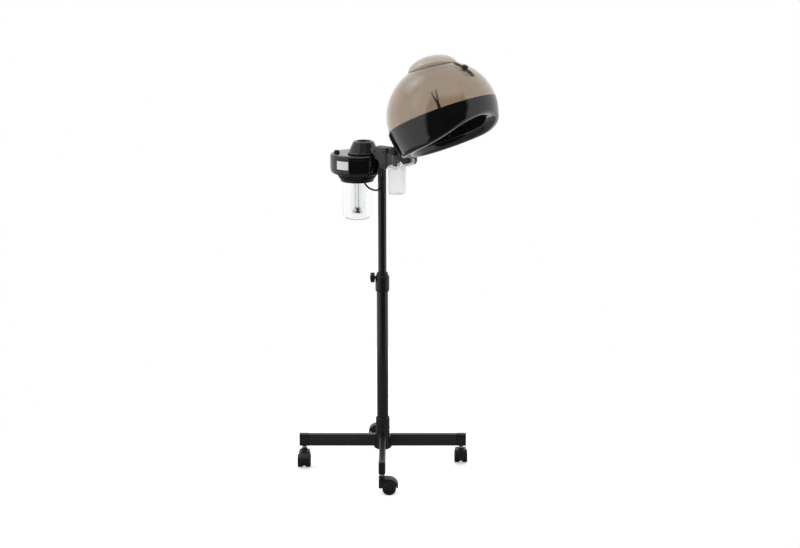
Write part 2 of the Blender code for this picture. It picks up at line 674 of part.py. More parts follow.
def arch_lift(heading, height):
    """Rise of the rim above the wearer's face, centred on -Y."""
    away = abs(math.degrees((heading + math.pi / 2 + math.pi) % TURN - math.pi))
    if away >= ARCH_HALF or height > -0.001:
        return 0.0
    share = min(1.0, -height / 0.080)
    return ARCH_LIFT * (0.5 + 0.5 * math.cos(math.pi * away / ARCH_HALF)) * share ** 1.2


def dome_point(angle, offset=0.0):
    """Point of the dome's section at a polar angle in degrees from its top."""
    turn = math.radians(angle)
    return ((HOOD_RADIUS + offset) * math.sin(turn), (DOME_HEIGHT + offset) * math.cos(turn))


def dome_shell(inner, outer, rings, start=-90.0, sweep=360.0, sides=HOOD_SIDES, top=0.0, bottom=90.0):
    """Shell between two offsets of the dome, from polar angle top to bottom."""
    angles = [top + (bottom - top) * step / rings for step in range(rings + 1)]
    outline = [dome_point(angle, outer) for angle in angles]
    outline += [dome_point(angle, inner) for angle in reversed(angles)]
    outline = [(radius if radius > 1e-9 else 0, height) for radius, height in outline]
    return revolved(outline, sides, start, sweep)


def cap_curve(inset, steps):
    """Quarter ellipse of the crown cap, inset from its outside, at the given polar angles."""
    drop = -CAP_FOOT - 0.002
    rise = CAP_HEIGHT - inset - drop
    turns = [math.radians(step) for step in steps]
    return [((CAP_RADIUS - inset) * math.sin(turn), drop + rise * math.cos(turn)) for turn in turns]


def build_hood_shell(hood):
    inside = [
        (0.1412, -0.0805), (0.1495, -0.0755), (0.1524, -0.0630), (0.1560, -0.0470), (0.1606, -0.012),
        (HOOD_RADIUS - 0.0030, 0.0),
    ]
    gutter = [
        (0.1345, -RIM_DROP), (0.1245, -0.0796), (0.1165, -0.0722), (0.1122, -0.0628), (0.1136, -0.0612),
        (0.1182, -0.0705), (0.1258, -0.0773), (0.1350, -0.0805),
    ]
    outline = band_outside() + gutter + inside
    band = revolved(outline, HOOD_SIDES, start=-90, lift=arch_lift)
    solid("hood_band", band, "gloss_black", hood, (0, 0, -GAP / 2))
    dome = solid("hood_dome", dome_shell(-DOME_WALL, 0.0, 9), "smoke", hood, (0, 0, GAP / 2))
    slot = block((-0.003, -0.1465, 0.040), (0.003, -0.107, 0.160))
    tool(dome, slot)
    share = math.sqrt(1 - (CAP_FORWARD / HOOD_RADIUS) ** 2)
    lean = math.degrees(math.atan2(DOME_HEIGHT * CAP_FORWARD, HOOD_RADIUS ** 2 * share))
    seat = DOME_HEIGHT * share
    outline = cap_curve(0.0, CAP_STEPS) + cap_curve(CAP_WALL, tuple(reversed(CAP_STEPS)))
    outline = [(radius if radius > 1e-9 else 0, height) for radius, height in outline]
    cap = solid("hood_cap", revolved(outline, 24), "smoke", hood, (0, -CAP_FORWARD, seat), (lean, 0, 0))
    keep_out = bpy.data.objects.new("hood_cap_tool", dome_solid(0.0004))
    keep_out.parent = hood
    keep_out.hide_render = True
    keep_out.display_type = "WIRE"
    bpy.context.scene.collection.objects.link(keep_out)
    trim = cap.modifiers.new("tool", "BOOLEAN")
    trim.operation = "DIFFERENCE"
    trim.object = keep_out


def dome_solid(offset):
    """Solid bounded by an offset of the dome, with a flat floor below its top third."""
    outline = [dome_point(angle, offset) for angle in range(0, 61, 10)]
    outline = [(radius if radius > 1e-9 else 0, height) for radius, height in outline]
    return revolved([*outline, (0, outline[-1][1])], HOOD_SIDES, start=-90)


def build_vent(hood, vent):
    """Slot rail on the dome, shutter inside it and the knob that moves the shutter."""
    strip = dome_shell(0.0004, 0.0018, 8, -100.0, 20.0, 2, 39.0, 66.0)
    rail = solid("vent_rail", strip, "black_plastic", hood, (0, 0, GAP / 2))
    tool(rail, block((0.0065, -0.2, 0.0), (0.08, 0.0, 0.2)))
    tool(rail, block((-0.08, -0.2, 0.0), (-0.0065, 0.0, 0.2)))
    tool(rail, block((-0.0036, -0.1465, 0.040), (0.0036, -0.107, 0.200)))
    centre = (0, -VENT_CENTRE_Y, -VENT_CENTRE_Z)
    shell = dome_shell(-DOME_WALL - 0.0035, -DOME_WALL - 0.0020, 5, -110.0, 40.0, 4, 38.0, 63.0)
    shutter = solid("vent_shutter", shell, "smoke", vent, centre)
    tool(shutter, block((0.022, -0.2, 0.0), (0.08, 0.0, 0.2)))
    tool(shutter, block((-0.08, -0.2, 0.0), (-0.022, 0.0, 0.2)))
    height = DOME_HEIGHT * math.sqrt(1 - (VENT_AT / HOOD_RADIUS) ** 2)
    lean = math.degrees(math.atan2(VENT_AT + VENT_CENTRE_Y, height - VENT_CENTRE_Z))
    reach = math.hypot(VENT_AT + VENT_CENTRE_Y, height - VENT_CENTRE_Z)
    neck = 0.0021
    knob = [
        (0, reach - 0.0029), (neck, reach - 0.0029), (neck, reach + 0.0024), (0.0078, reach + 0.0026),
        (0.0084, reach + 0.0040), (0.0084, reach + 0.0080), (0.0072, reach + 0.0094), (0, reach + 0.0100),
    ]
    solid("vent_knob", revolved(knob, 20), "black_plastic", vent, turn=(lean, 0, 0))


def build_arm(tilt, hood):
    """Fork round the bracket's tongue; (y, z) in the tilting frame, forward is -y."""
    knuckle = arc((0, 0), ARM_KNUCKLE, -38, 90, 6)
    seat = [(radius + 0.0040 - HOOD_FORWARD, height + HOOD_RISE) for radius, height in plate_line()[2:]]
    foot = [
        (-0.0415, -0.0350), (-0.0400, -0.0425), (-0.0354, -0.0518), (-0.0244, -0.0566), (-0.0184, -0.0527),
    ]
    side = [*knuckle, (seat[0][0] + 0.0009, 0.0165), *seat, *foot, (-0.0106, -0.0458)]
    arm = solid("hood_arm", prism(side, -ARM_HALF, ARM_HALF), "black_plastic", tilt)
    soften(arm, 0.0018)
    gap_half = TONGUE_HALF + GAP
    tool(arm, block((-gap_half, -0.017, -0.08), (gap_half, 0.05, 0.05)))
    tool(arm, round_bar(STUD_RADIUS + GAP, -0.03, 0.03, "X", 16))
    grip = lobed_knob(0.013, -ARM_HALF - 0.0135, -ARM_HALF - GAP, 8)
    knob = solid("tilt_knob", grip, "black_plastic", tilt)
    tool(knob, round_bar(STUD_RADIUS, -ARM_HALF - 0.002, ARM_HALF - 0.002, "X", 16), "UNION")
    line = plate_line()
    plate = [(radius + 0.0034, height) for radius, height in line]
    plate += [(radius + 0.0004, height) for radius, height in reversed(line)]
    plate = revolved(plate, 10, start=40.0, sweep=100.0)
    solid("hood_rear_plate", plate, "black_plastic", hood, (0, 0, -GAP / 2))


def build_nozzle(hood):
    """Forked steam outlet standing in the gutter behind the wearer's left ear."""
    heading = math.degrees(math.atan2(NOZZLE_Y, NOZZLE_X)) + 90
    nozzle = solid("steam_nozzle", round_bar(0.0050, -0.0600, 0.060, "Z", 14), "black_plastic", hood,
                   (NOZZLE_X, NOZZLE_Y, 0), (0, 0, heading))
    for side in (-1, 1):
        prong = round_bar(0.0028, -0.006, 0.038, "Z", 10)
        tool(nozzle, prong, "UNION", (side * 0.0014, 0, 0.055), (0, side * 9, 0))


def build():
    clear_scene()
    stand = guide("mast_axis", location=(0, MAST_Y, 0))
    build_base(stand)
    build_mast(stand)
    head = guide("head_axis", stand)
    build_bracket(head)
    build_steam_pipe(head)
    build_generator(head)
    build_tower(head)
    build_cup(head)
    build_cables(head)
    tilt = guide("hood_pivot", head, (0, PIVOT_Y, PIVOT_Z), (-HOOD_TILT, 0, 0))
    hood = guide("hood_axis", tilt, (0, -HOOD_FORWARD, HOOD_RISE))
    vent = guide("vent_axis", hood, (0, VENT_CENTRE_Y, VENT_CENTRE_Z))
    build_hood_shell(hood)
    build_vent(hood, vent)
    build_arm(tilt, hood)
    build_nozzle(hood)
    bpy.context.view_layer.update()


build()
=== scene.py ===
"""Looks of the hooded hair steamer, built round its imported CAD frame.

Metres, +Z up, floor at z = 0, the hood opening towards -Y. Round pieces are lathed afresh with fine
sides, and moulded ones are copied from their CAD node and given rounded edges and fittings.
"""

import math

import bmesh
import bpy
from mathutils import Matrix, Vector


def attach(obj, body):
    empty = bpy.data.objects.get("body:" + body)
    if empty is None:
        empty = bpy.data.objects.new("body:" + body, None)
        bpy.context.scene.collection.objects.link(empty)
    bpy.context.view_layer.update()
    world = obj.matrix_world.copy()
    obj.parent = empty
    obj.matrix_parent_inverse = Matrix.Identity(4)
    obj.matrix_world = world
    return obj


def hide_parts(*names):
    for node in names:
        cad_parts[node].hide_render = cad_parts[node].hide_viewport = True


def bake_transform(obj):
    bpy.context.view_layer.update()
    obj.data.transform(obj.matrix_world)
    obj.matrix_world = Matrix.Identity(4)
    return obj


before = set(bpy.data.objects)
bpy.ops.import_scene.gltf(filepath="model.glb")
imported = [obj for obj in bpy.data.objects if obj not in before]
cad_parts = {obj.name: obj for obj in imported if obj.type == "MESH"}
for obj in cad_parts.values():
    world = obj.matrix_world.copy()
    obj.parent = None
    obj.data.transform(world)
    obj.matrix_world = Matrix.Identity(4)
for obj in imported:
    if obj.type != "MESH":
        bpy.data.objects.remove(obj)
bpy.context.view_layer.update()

GAP = 0.0003
MAST_Y = 0.0884

# rolling base and casters
LEG_TURN = -141.0
LEG_NAMES = ("front", "right", "rear", "left")
LEG_START = 0.0222
LEG_END = 0.2305
LEG_MIDDLE_Z = 0.083
STEM_REACH = 0.246
TRAIL = 0.0215
WHEEL_RADIUS = 0.0205
WHEEL_WIDTH = 0.0155
WEB_HALF = 0.0042
CASTER_TURN = 90.0

# mast and its knob
LOWER_RADIUS = 0.0175
UPPER_RADIUS = 0.0127
HEIGHT_KNOB_HEADING = 129.0
HEIGHT_KNOB_Z = 0.606

# head: tilt pivot, bracket, generator, tank and drip cup
PIVOT_Y = -0.066
PIVOT_Z = 1.007
BRACKET_HALF = 0.018
CASE_Y = 0.0985
CASE_RADIUS = 0.0825
CASE_LOW = 0.920
CASE_TOP = 0.982
TOWER_Y = 0.0725
TOWER_FLANGE_TOP = 0.988
TOWER_TOP = 1.021
VENT_LOW = 0.901
VENT_SLOTS = 64
LOCK_GRIPS = 36
TANK_RADIUS = 0.046
TANK_WALL = 0.002
TANK_LOW = 0.7785
TANK_CORNER = 0.016
RISER_RADIUS = 0.021
CUP_Y = -0.0572
CUP_RADIUS = 0.0265
CUP_LOW = 0.874
LID_LOW = 0.951
LID_TOP = 0.957

# hood, with Z along the dome's axis
HOOD_TILT = 25.0
HOOD_FORWARD = 0.1977
HOOD_RISE = 0.0407
HOOD_RADIUS = 0.164
DOME_HEIGHT = 0.154
DOME_WALL = 0.0025
RIM_DROP = 0.083
ARCH_LIFT = 0.034
ARCH_HALF = 88.0
ARM_HALF = 0.020
CAP_RADIUS = 0.0733
CAP_FORWARD = 0.024
CAP_HEIGHT = 0.0195
CAP_FOOT = 0.020
CAP_WALL = 0.002
VENT_AT = 0.130
VENT_SLOT_Y = (-0.1465, -0.107)
VENT_SLOT_LOW = 0.040
VENT_CENTRE_Y = -0.0087
VENT_CENTRE_Z = -0.0056
NOZZLE_X = 0.0935
NOZZLE_Y = 0.0745

CABLE_DIAMETER = 0.0055
CABLE_ROUTE = (
    (-0.0262, 0.0470, 0.9060), (-0.0260, 0.0440, 0.8945), (-0.0245, 0.0300, 0.8840),
    (-0.0225, 0.0130, 0.8800), (-0.0210, 0.0000, 0.8815), (-0.0200, -0.0060, 0.8910),
    (-0.0195, -0.0080, 0.9050), (-0.0195, -0.0080, 0.9196),
)
HOSE_DIAMETER = 0.0085
HOSE_BORE = 0.0060
HOSE_ROUTE = (
    (-0.0290, -0.1400, 0.9938), (-0.0291, -0.1430, 0.9874), (-0.0290, -0.1405, 0.9800),
    (-0.0286, -0.1270, 0.9740), (-0.0280, -0.1110, 0.9700), (-0.0255, -0.0970, 0.9670),
    (-0.0205, -0.0860, 0.9685), (-0.0150, -0.0780, 0.9685), (-0.0121, -0.0742, 0.9645),
    (-0.0120, -0.0740, 0.9601),
)

# camera: heading from the mast towards the camera, and the picture's right
CAMERA_SIDE = Vector((-0.777, -0.629, 0.0))
CAMERA_RIGHT = Vector((0.629, -0.777, 0.0))
CAMERA_DISTANCE = 4.8
CAMERA_SHIFT_RIGHT = 0.054
CAMERA_HEIGHT = 1.80
CAMERA_PITCH = 13.85
CAMERA_LENS = 72.7

# key light: discs one over another, so its reflection fades out at the edge
KEY_SIDE = (-0.159, 0.688, 0.708)
KEY_DISTANCE = 3.0
KEY_WIDTHS = (0.5, 0.9, 1.3, 1.7)
KEY_POWER = 2.2

# fill light from the camera's side, which glossy faces don't mirror
FILL_SIDE = (-0.777, -0.629, 0.35)
FILL_POWER = 26.0
FILL_WIDTH = 1.6

# studio: its dark side's turn from the camera, its edges in degrees, its brightness and where it ends above
DARK_TURN = 10
DARK_EDGES = (50, 42)
DARK_LEVEL = 0.03
DARK_TOP = (0.62, 0.80)
FLOOR_RADIUS = 1.3
FLOOR_GLOW = 0.42
FLOOR_GREY = 0.30

# bounces below which a ray still counts as straight; the world counts one more than a surface
SURFACE_LIMIT = 0.5
WORLD_LIMIT = 1.5


def turned(x=0.0, y=0.0, z=0.0):
    """Rotation by angles in degrees, about X first, then Y, then Z."""
    turn_x = Matrix.Rotation(math.radians(x), 4, "X")
    turn_y = Matrix.Rotation(math.radians(y), 4, "Y")
    turn_z = Matrix.Rotation(math.radians(z), 4, "Z")
    return turn_z @ turn_y @ turn_x


def moved(x=0.0, y=0.0, z=0.0):
    return Matrix.Translation((x, y, z))


STAND = moved(y=MAST_Y)
CASE = STAND @ moved(y=CASE_Y)
TILT = STAND @ moved(y=PIVOT_Y, z=PIVOT_Z) @ turned(x=-HOOD_TILT)
HOOD = TILT @ moved(y=-HOOD_FORWARD, z=HOOD_RISE)
LEGS = [STAND @ turned(z=LEG_TURN + 90 * step) for step in range(4)]
SWIVELS = [leg @ moved(x=STEM_REACH) @ turned(z=CASTER_TURN) for leg in LEGS]


# ------------------------------------------------------------------- materials

def link(tree, start, end):
    tree.links.new(start, end)


def noise(tree, scale, detail=3.0, stretch=None):
    """Noise on the piece's own coordinates; stretch squeezes it along an axis."""
    place = tree.nodes.new("ShaderNodeTexCoord")
    texture = tree.nodes.new("ShaderNodeTexNoise")
    texture.inputs["Scale"].default_value = scale
    texture.inputs["Detail"].default_value = detail
    source = place.outputs["Object"]
    if stretch:
        mapping = tree.nodes.new("ShaderNodeMapping")
        mapping.inputs["Scale"].default_value = stretch
        link(tree, source, mapping.inputs["Vector"])
        source = mapping.outputs["Vector"]
    link(tree, source, texture.inputs["Vector"])
    return texture.outputs["Fac"]


def spread(tree, source, low, high, from_low=0.3, from_high=0.7):
    change = tree.nodes.new("ShaderNodeMapRange")
    change.inputs["From Min"].default_value = from_low
    change.inputs["From Max"].default_value = from_high
    change.inputs["To Min"].default_value = low
    change.inputs["To Max"].default_value = high
    link(tree, source, change.inputs["Value"])
    return change.outputs["Result"]


def blended(tree, share, first, second):
    mix = tree.nodes.new("ShaderNodeMix")
    mix.data_type = "RGBA"
    link(tree, share, mix.inputs["Factor"])
    for socket, value in ((mix.inputs["A"], first), (mix.inputs["B"], second)):
        if isinstance(value, tuple):
            socket.default_value = (*value, 1.0)
        else:
            link(tree, value, socket)
    return mix.outputs["Result"]


def bumps(tree, heights):
    """Bump nodes in a row, one for each (height, distance, strength)."""
    normal = None
    for height, distance, strength in heights:
        bump = tree.nodes.new("ShaderNodeBump")
        bump.inputs["Distance"].default_value = distance
        bump.inputs["Strength"].default_value = strength
        link(tree, height, bump.inputs["Height"])
        if normal:
            link(tree, normal, bump.inputs["Normal"])
        normal = bump.outputs["Normal"]
    return normal


def new_look(name):
    made = bpy.data.materials.new(name)
    made.use_nodes = True
    return made, made.node_tree, made.node_tree.nodes["Principled BSDF"]


def solid_look(name, colour, lighter, rough, grain, metallic=0.0, coat=0.0, stretch=None, wear=0.3,
               shine=0.5):
    """Opaque surface: two-tone mottling, edge wear, uneven gloss and a fine grain with faint waviness.

    rough is (lowest, highest); grain is (scale, distance, strength).
    """
    made, tree, shader = new_look(name)
    mottle = spread(tree, noise(tree, 26.0, 2.0, stretch), 0.0, 1.0)
    base = blended(tree, mottle, colour, lighter)
    edge = tree.nodes.new("ShaderNodeNewGeometry")
    worn = spread(tree, edge.outputs["Pointiness"], 0.0, wear, 0.515, 0.60)
    scuffed = tuple(min(1.0, channel * 2.4 + 0.012) for channel in lighter)
    link(tree, blended(tree, worn, base, scuffed), shader.inputs["Base Color"])
    smear = spread(tree, noise(tree, 40.0, 2.0, stretch), rough[0], rough[1])
    link(tree, smear, shader.inputs["Roughness"])
    fine = noise(tree, grain[0], 2.0, stretch)
    wave = noise(tree, 18.0, 1.0)
    link(tree, bumps(tree, ((wave, 0.0006, 0.10), (fine, grain[1], grain[2]))), shader.inputs["Normal"])
    shader.inputs["Metallic"].default_value = metallic
    shader.inputs["Specular IOR Level"].default_value = shine
    shader.inputs["Coat Weight"].default_value = coat
    shader.inputs["Coat Roughness"].default_value = 0.04
    return made


def clear_look(name, tint, rough, ior, weight=1.0, haze=0.0, ripple=0.04, coat=0.0):
    """See-through plastic with faint moulding ripples, which lets lamp light pass as through a film."""
    made, tree, shader = new_look(name)
    cloud = spread(tree, noise(tree, 14.0, 4.0), 0.0, 1.0)
    deeper = tuple(channel ** 1.1 for channel in tint)
    tone = blended(tree, cloud, tint, deeper)
    link(tree, tone, shader.inputs["Base Color"])
    link(tree, spread(tree, noise(tree, 45.0, 5.0), rough[0], rough[1]), shader.inputs["Roughness"])
    link(tree, bumps(tree, ((noise(tree, 11.0, 1.0), 0.0010, ripple),)), shader.inputs["Normal"])
    shader.inputs["Transmission Weight"].default_value = weight
    shader.inputs["IOR"].default_value = ior
    shader.inputs["Coat Weight"].default_value = coat
    shader.inputs["Coat Roughness"].default_value = 0.06
    shader.inputs["Subsurface Weight"].default_value = haze
    shader.inputs["Subsurface Radius"].default_value = (0.01, 0.01, 0.01)
    film = tree.nodes.new("ShaderNodeBsdfTransparent")
    film.inputs["Color"].default_value = (*(math.sqrt(channel) for channel in tint), 1.0)
    path = tree.nodes.new("ShaderNodeLightPath")
    mix = tree.nodes.new("ShaderNodeMixShader")
    link(tree, path.outputs["Is Shadow Ray"], mix.inputs["Fac"])
    link(tree, shader.outputs["BSDF"], mix.inputs[1])
    link(tree, film.outputs["BSDF"], mix.inputs[2])
    link(tree, mix.outputs["Shader"], tree.nodes["Material Output"].inputs["Surface"])
    return made


LOOKS = {
    "stand_black": solid_look(
        "stand_black", (0.007, 0.007, 0.0075), (0.011, 0.011, 0.012), (0.22, 0.30),
        (900.0, 0.00005, 0.10), shine=0.46),
    "moulded_black": solid_look(
        "moulded_black", (0.007, 0.007, 0.0075), (0.011, 0.011, 0.012), (0.28, 0.38),
        (1500.0, 0.00006, 0.15), shine=0.36),
    "bracket_black": solid_look(
        "bracket_black", (0.032, 0.032, 0.033), (0.042, 0.042, 0.044), (0.40, 0.50),
        (1300.0, 0.00010, 0.45), shine=0.45),
    "matt_lining": solid_look(
        "matt_lining", (0.004, 0.004, 0.0042), (0.006, 0.006, 0.0063), (0.60, 0.72),
        (1200.0, 0.00005, 0.15), shine=0.12),
    "gloss_black": solid_look(
        "gloss_black", (0.004, 0.004, 0.0045), (0.006, 0.006, 0.0065), (0.05, 0.10), (240.0, 0.00003, 0.05),
        coat=0.10, wear=0.12),
    "black_rubber": solid_look(
        "black_rubber", (0.008, 0.008, 0.0085), (0.013, 0.013, 0.014), (0.50, 0.62),
        (1100.0, 0.00010, 0.40), shine=0.40),
    "wheel_black": solid_look(
        "wheel_black", (0.007, 0.007, 0.0075), (0.012, 0.012, 0.013), (0.34, 0.46),
        (1200.0, 0.00010, 0.40), wear=0.4, shine=0.36),
    "zinc_steel": solid_look(
        "zinc_steel", (0.55, 0.56, 0.58), (0.68, 0.69, 0.71), (0.20, 0.34), (700.0, 0.00004, 0.30),
        metallic=1.0, stretch=(1.0, 1.0, 0.15)),
    "heater_steel": solid_look(
        "heater_steel", (0.62, 0.62, 0.62), (0.76, 0.75, 0.73), (0.16, 0.30), (800.0, 0.00004, 0.30),
        metallic=1.0, stretch=(1.0, 1.0, 0.10)),
    "blank_label": solid_look(
        "blank_label", (0.92, 0.92, 0.92), (0.97, 0.97, 0.97), (0.40, 0.52),
        (500.0, 0.00003, 0.25), wear=0.0),
    "smoke_shell": clear_look("smoke_shell", (0.565, 0.487, 0.405), (0.05, 0.085), 1.50, coat=0.5),
    "pale_smoke": clear_look("pale_smoke", (0.72, 0.665, 0.61), (0.05, 0.085), 1.50),
    "clear_shell": clear_look("clear_shell", (0.985, 0.99, 0.992), (0.01, 0.04), 1.49, ripple=0.06),
    "milky_shell": clear_look(
        "milky_shell", (0.975, 0.977, 0.98), (0.45, 0.58), 1.33, weight=0.74, haze=0.35, ripple=0.01),
    "clear_hose": clear_look("clear_hose", (0.93, 0.94, 0.945), (0.10, 0.20), 1.38, weight=0.8, haze=0.2),
}


# ---------------------------------------------------------------- mesh helpers

def new_mesh(shape, sharp=34.0):
    bmesh.ops.recalc_face_normals(shape, faces=shape.faces)
    mesh = bpy.data.meshes.new("made")
    shape.to_mesh(mesh)
    shape.free()
    mesh.shade_smooth()
    mesh.set_sharp_from_angle(angle=math.radians(sharp))
    return mesh


def eased(outline, cut=0.0008, steps=3):
    """Closed outline with its corners rounded; cut is how far from each corner the curve starts."""
    points = [Vector(point) for point in outline]
    result = []
    for place, point in enumerate(points):
        before = points[place - 1] - point
        after = points[(place + 1) % len(points)] - point
        if point.x == 0 or before.length < 1e-7 or after.length < 1e-7:
            result.append(tuple(point))
            continue
        if before.angle(after) > math.radians(172):
            result.append(tuple(point))
            continue
        start = point + before.normalized() * min(cut, before.length * 0.42)
        end = point + after.normalized() * min(cut, after.length * 0.42)
        for step in range(steps + 1):
            t = step / steps
            result.append(tuple(start * (1 - t) ** 2 + point * (2 * t * (1 - t)) + end * t ** 2))
    return result


def flowing(points, steps):
    """Points on a Catmull-Rom curve through the given ones, steps for each stretch."""
    places = [Vector(point) for point in points]
    places = [2 * places[0] - places[1], *places, 2 * places[-1] - places[-2]]
    route = []
    for before, start, end, after in zip(places, places[1:], places[2:], places[3:]):
        for step in range(steps):
            t = step / steps
            bend = 2 * start + (end - before) * t + (2 * before - 5 * start + 4 * end - after) * t ** 2
            bend += (3 * start - before - 3 * end + after) * t ** 3
            route.append(bend / 2)
    route.append(places[-2])
    return route


def lathe(outline, sides=96, start=0.0, sweep=360.0, lift=None, sharp=34.0):
    """Closed outline of (radius, height) turned about Z; lift shifts heights by heading."""
    shape = bmesh.new()
    whole = sweep >= 360.0
    rows = []
    for step in range(sides if whole else sides + 1):
        heading = math.radians(start + sweep * step / sides)
        row = []
        for place, (radius, height) in enumerate(outline):
            if radius == 0 and rows:
                row.append(rows[0][place])
                continue
            rise = lift(heading, height) if lift else 0.0
            spot = (radius * math.cos(heading), radius * math.sin(heading), height + rise)
            row.append(shape.verts.new(spot))
        rows.append(row)
    for step in range(sides):
        near = rows[step]
        far = rows[(step + 1) % len(rows)]
        for place in range(len(outline)):
            after = (place + 1) % len(outline)
            corners = list(dict.fromkeys((near[place], far[place], far[after], near[after])))
            if len(corners) > 2:
                shape.faces.new(corners)
    if not whole:
        shape.faces.new(rows[0])
        shape.faces.new(rows[-1])
    return new_mesh(shape, sharp)


def extruded(outline, low, high):
    """Closed outline of (x, y) between two heights."""
    shape = bmesh.new()
    ends = [[shape.verts.new((x, y, level)) for x, y in outline] for level in (low, high)]
    shape.faces.new(ends[0])
    shape.faces.new(ends[1])
    for place in range(len(outline)):
        after = (place + 1) % len(outline)
        shape.faces.new((ends[0][place], ends[0][after], ends[1][after], ends[1][place]))
    return new_mesh(shape)


def block(low, high):
    corners = ((low[0], low[1]), (high[0], low[1]), (high[0], high[1]), (low[0], high[1]))
    return extruded(corners, low[2], high[2])


def circle(radius, sides=48, centre=(0.0, 0.0)):
    angles = [math.tau * step / sides for step in range(sides)]
    return [(centre[0] + radius * math.cos(a), centre[1] + radius * math.sin(a)) for a in angles]


def arc(centre, radius, start, end, steps):
    angles = [math.radians(start + (end - start) * step / steps) for step in range(steps + 1)]
    return [(centre[0] + radius * math.cos(a), centre[1] + radius * math.sin(a)) for a in angles]


def put(mesh, matrix):
    mesh.transform(matrix)
    return mesh


def merged(meshes, sharp=34.0):
    """One mesh holding several, which may overlap."""
    shape = bmesh.new()
    for mesh in meshes:
        shape.from_mesh(mesh)
    result = bpy.data.meshes.new("merged")
    shape.to_mesh(result)
    shape.free()
    result.shade_smooth()
    result.set_sharp_from_angle(angle=math.radians(sharp))
    return result


def settled(mesh, *changes, sharp=34.0):
    """Mesh after modifiers, each given as (kind, settings), with booleans given a mesh as their object."""
    item = bpy.data.objects.new("settling", mesh)
    bpy.context.scene.collection.objects.link(item)
    helpers = []
    for kind, settings in changes:
        change = item.modifiers.new(kind, kind)
        for key, value in settings.items():
            if isinstance(value, bpy.types.Mesh):
                helper = bpy.data.objects.new("helper", value)
                bpy.context.scene.collection.objects.link(helper)
                helpers.append(helper)
                value = helper
            setattr(change, key, value)
    bpy.context.view_layer.update()
    evaluated = item.evaluated_get(bpy.context.evaluated_depsgraph_get())
    result = bpy.data.meshes.new_from_object(evaluated)
    for used in (*helpers, item):
        bpy.data.objects.remove(used, do_unlink=True)
    result.shade_smooth()
    result.set_sharp_from_angle(angle=math.radians(sharp))
    return result


def rounding(width, segments=3, angle=32.0):
    return ("BEVEL", {
        "width": width, "segments": segments, "limit_method": "ANGLE",
        "angle_limit": math.radians(angle), "use_clamp_overlap": True,
    })


def minus(mesh):
    return ("BOOLEAN", {"operation": "DIFFERENCE", "object": mesh})


def plus(mesh):
    return ("BOOLEAN", {"operation": "UNION", "object": mesh})


def from_cad(node, width, segments=3, angle=32.0):
    """The CAD node's own shape as a new mesh with rounded edges."""
    shape = bmesh.new()
    shape.from_mesh(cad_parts[node].data)
    bmesh.ops.remove_doubles(shape, verts=shape.verts, dist=0.00002)
    bmesh.ops.dissolve_limit(shape, angle_limit=math.radians(1.5), verts=shape.verts, edges=shape.edges)
    return settled(new_mesh(shape), rounding(width, segments, angle))


def loose_piece(name, mesh, look, *nodes, tone=None):
    """Visible piece that stands for CAD nodes and isn't on a body yet; tone is its own shade of the look."""
    mesh.materials.clear()
    mesh.materials.append(LOOKS[tone or look])
    item = bpy.data.objects.new(name, mesh)
    bpy.context.scene.collection.objects.link(item)
    if nodes:
        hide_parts(*nodes)
    return item


def piece(name, mesh, body, look, *nodes, tone=None):
    """Visible piece that rides on a body and stands for CAD nodes."""
    item = loose_piece(name, mesh, look, *nodes, tone=tone)
    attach(item, body)
    return item


def pipe(points, radius, bore=0.0, sides=24):
    """Tube along points, hollow where bore is given, its ends closed."""
    shape = bmesh.new()
    side = Vector((1.0, 0.0, 0.0))
    rings = []
    for place, point in enumerate(points):
        ahead = points[min(place + 1, len(points) - 1)] - points[max(place - 1, 0)]
        ahead.normalize()
        side = (side - ahead * side.dot(ahead)).normalized()
        up = ahead.cross(side)
        loops = []
        for reach in ((radius, bore) if bore else (radius,)):
            loop = []
            for step in range(sides):
                angle = math.tau * step / sides
                spot = point + side * reach * math.cos(angle) + up * reach * math.sin(angle)
                loop.append(shape.verts.new(spot))
            loops.append(loop)
        rings.append(loops)
    for near, far in zip(rings, rings[1:]):
        for near_loop, far_loop in zip(near, far):
            for step in range(sides):
                after = (step + 1) % sides
                shape.faces.new((near_loop[step], near_loop[after], far_loop[after], far_loop[step]))
    for ring in (rings[0], rings[-1]):
        if not bore:
            shape.faces.new(ring[0])
            continue
        for step in range(sides):
            after = (step + 1) % sides
            shape.faces.new((ring[0][step], ring[0][after], ring[1][after], ring[1][step]))
    return new_mesh(shape)


# ------------------------------------------------------------ camera and cords

def set_camera():
    data = bpy.data.cameras.new("camera")
    data.sensor_width = 36.0
    data.lens = CAMERA_LENS
    data.clip_end = 100.0
    camera = bpy.data.objects.new("camera", data)
    above_mast = Vector((0, MAST_Y, CAMERA_HEIGHT))
    camera.location = above_mast + CAMERA_SIDE * CAMERA_DISTANCE + CAMERA_RIGHT * CAMERA_SHIFT_RIGHT
    heading = math.atan2(CAMERA_SIDE.x, -CAMERA_SIDE.y)
    camera.rotation_euler = (math.radians(90 - CAMERA_PITCH), 0, heading)
    bpy.context.scene.collection.objects.link(camera)
    bpy.context.scene.camera = camera


def lay_cords():
    """Link cable on the head; drain hose from the hood's band to the drip cup."""
    cable = [STAND @ point for point in flowing(CABLE_ROUTE, 6)]
    lead = pipe(cable, CABLE_DIAMETER / 2)
    link_cable = piece("link_cable_lead", lead, "head", "black_rubber", "link_cable")
    hose = [STAND @ point for point in flowing(HOSE_ROUTE, 6)]
    tube = pipe(hose, HOSE_DIAMETER / 2, HOSE_BORE / 2)
    drain = loose_piece("drain_hose_tube", tube, "clear_hose", "drain_hose")
    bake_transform(drain)


set_camera()
lay_cords()


# ----------------------------------------------------------------- small parts

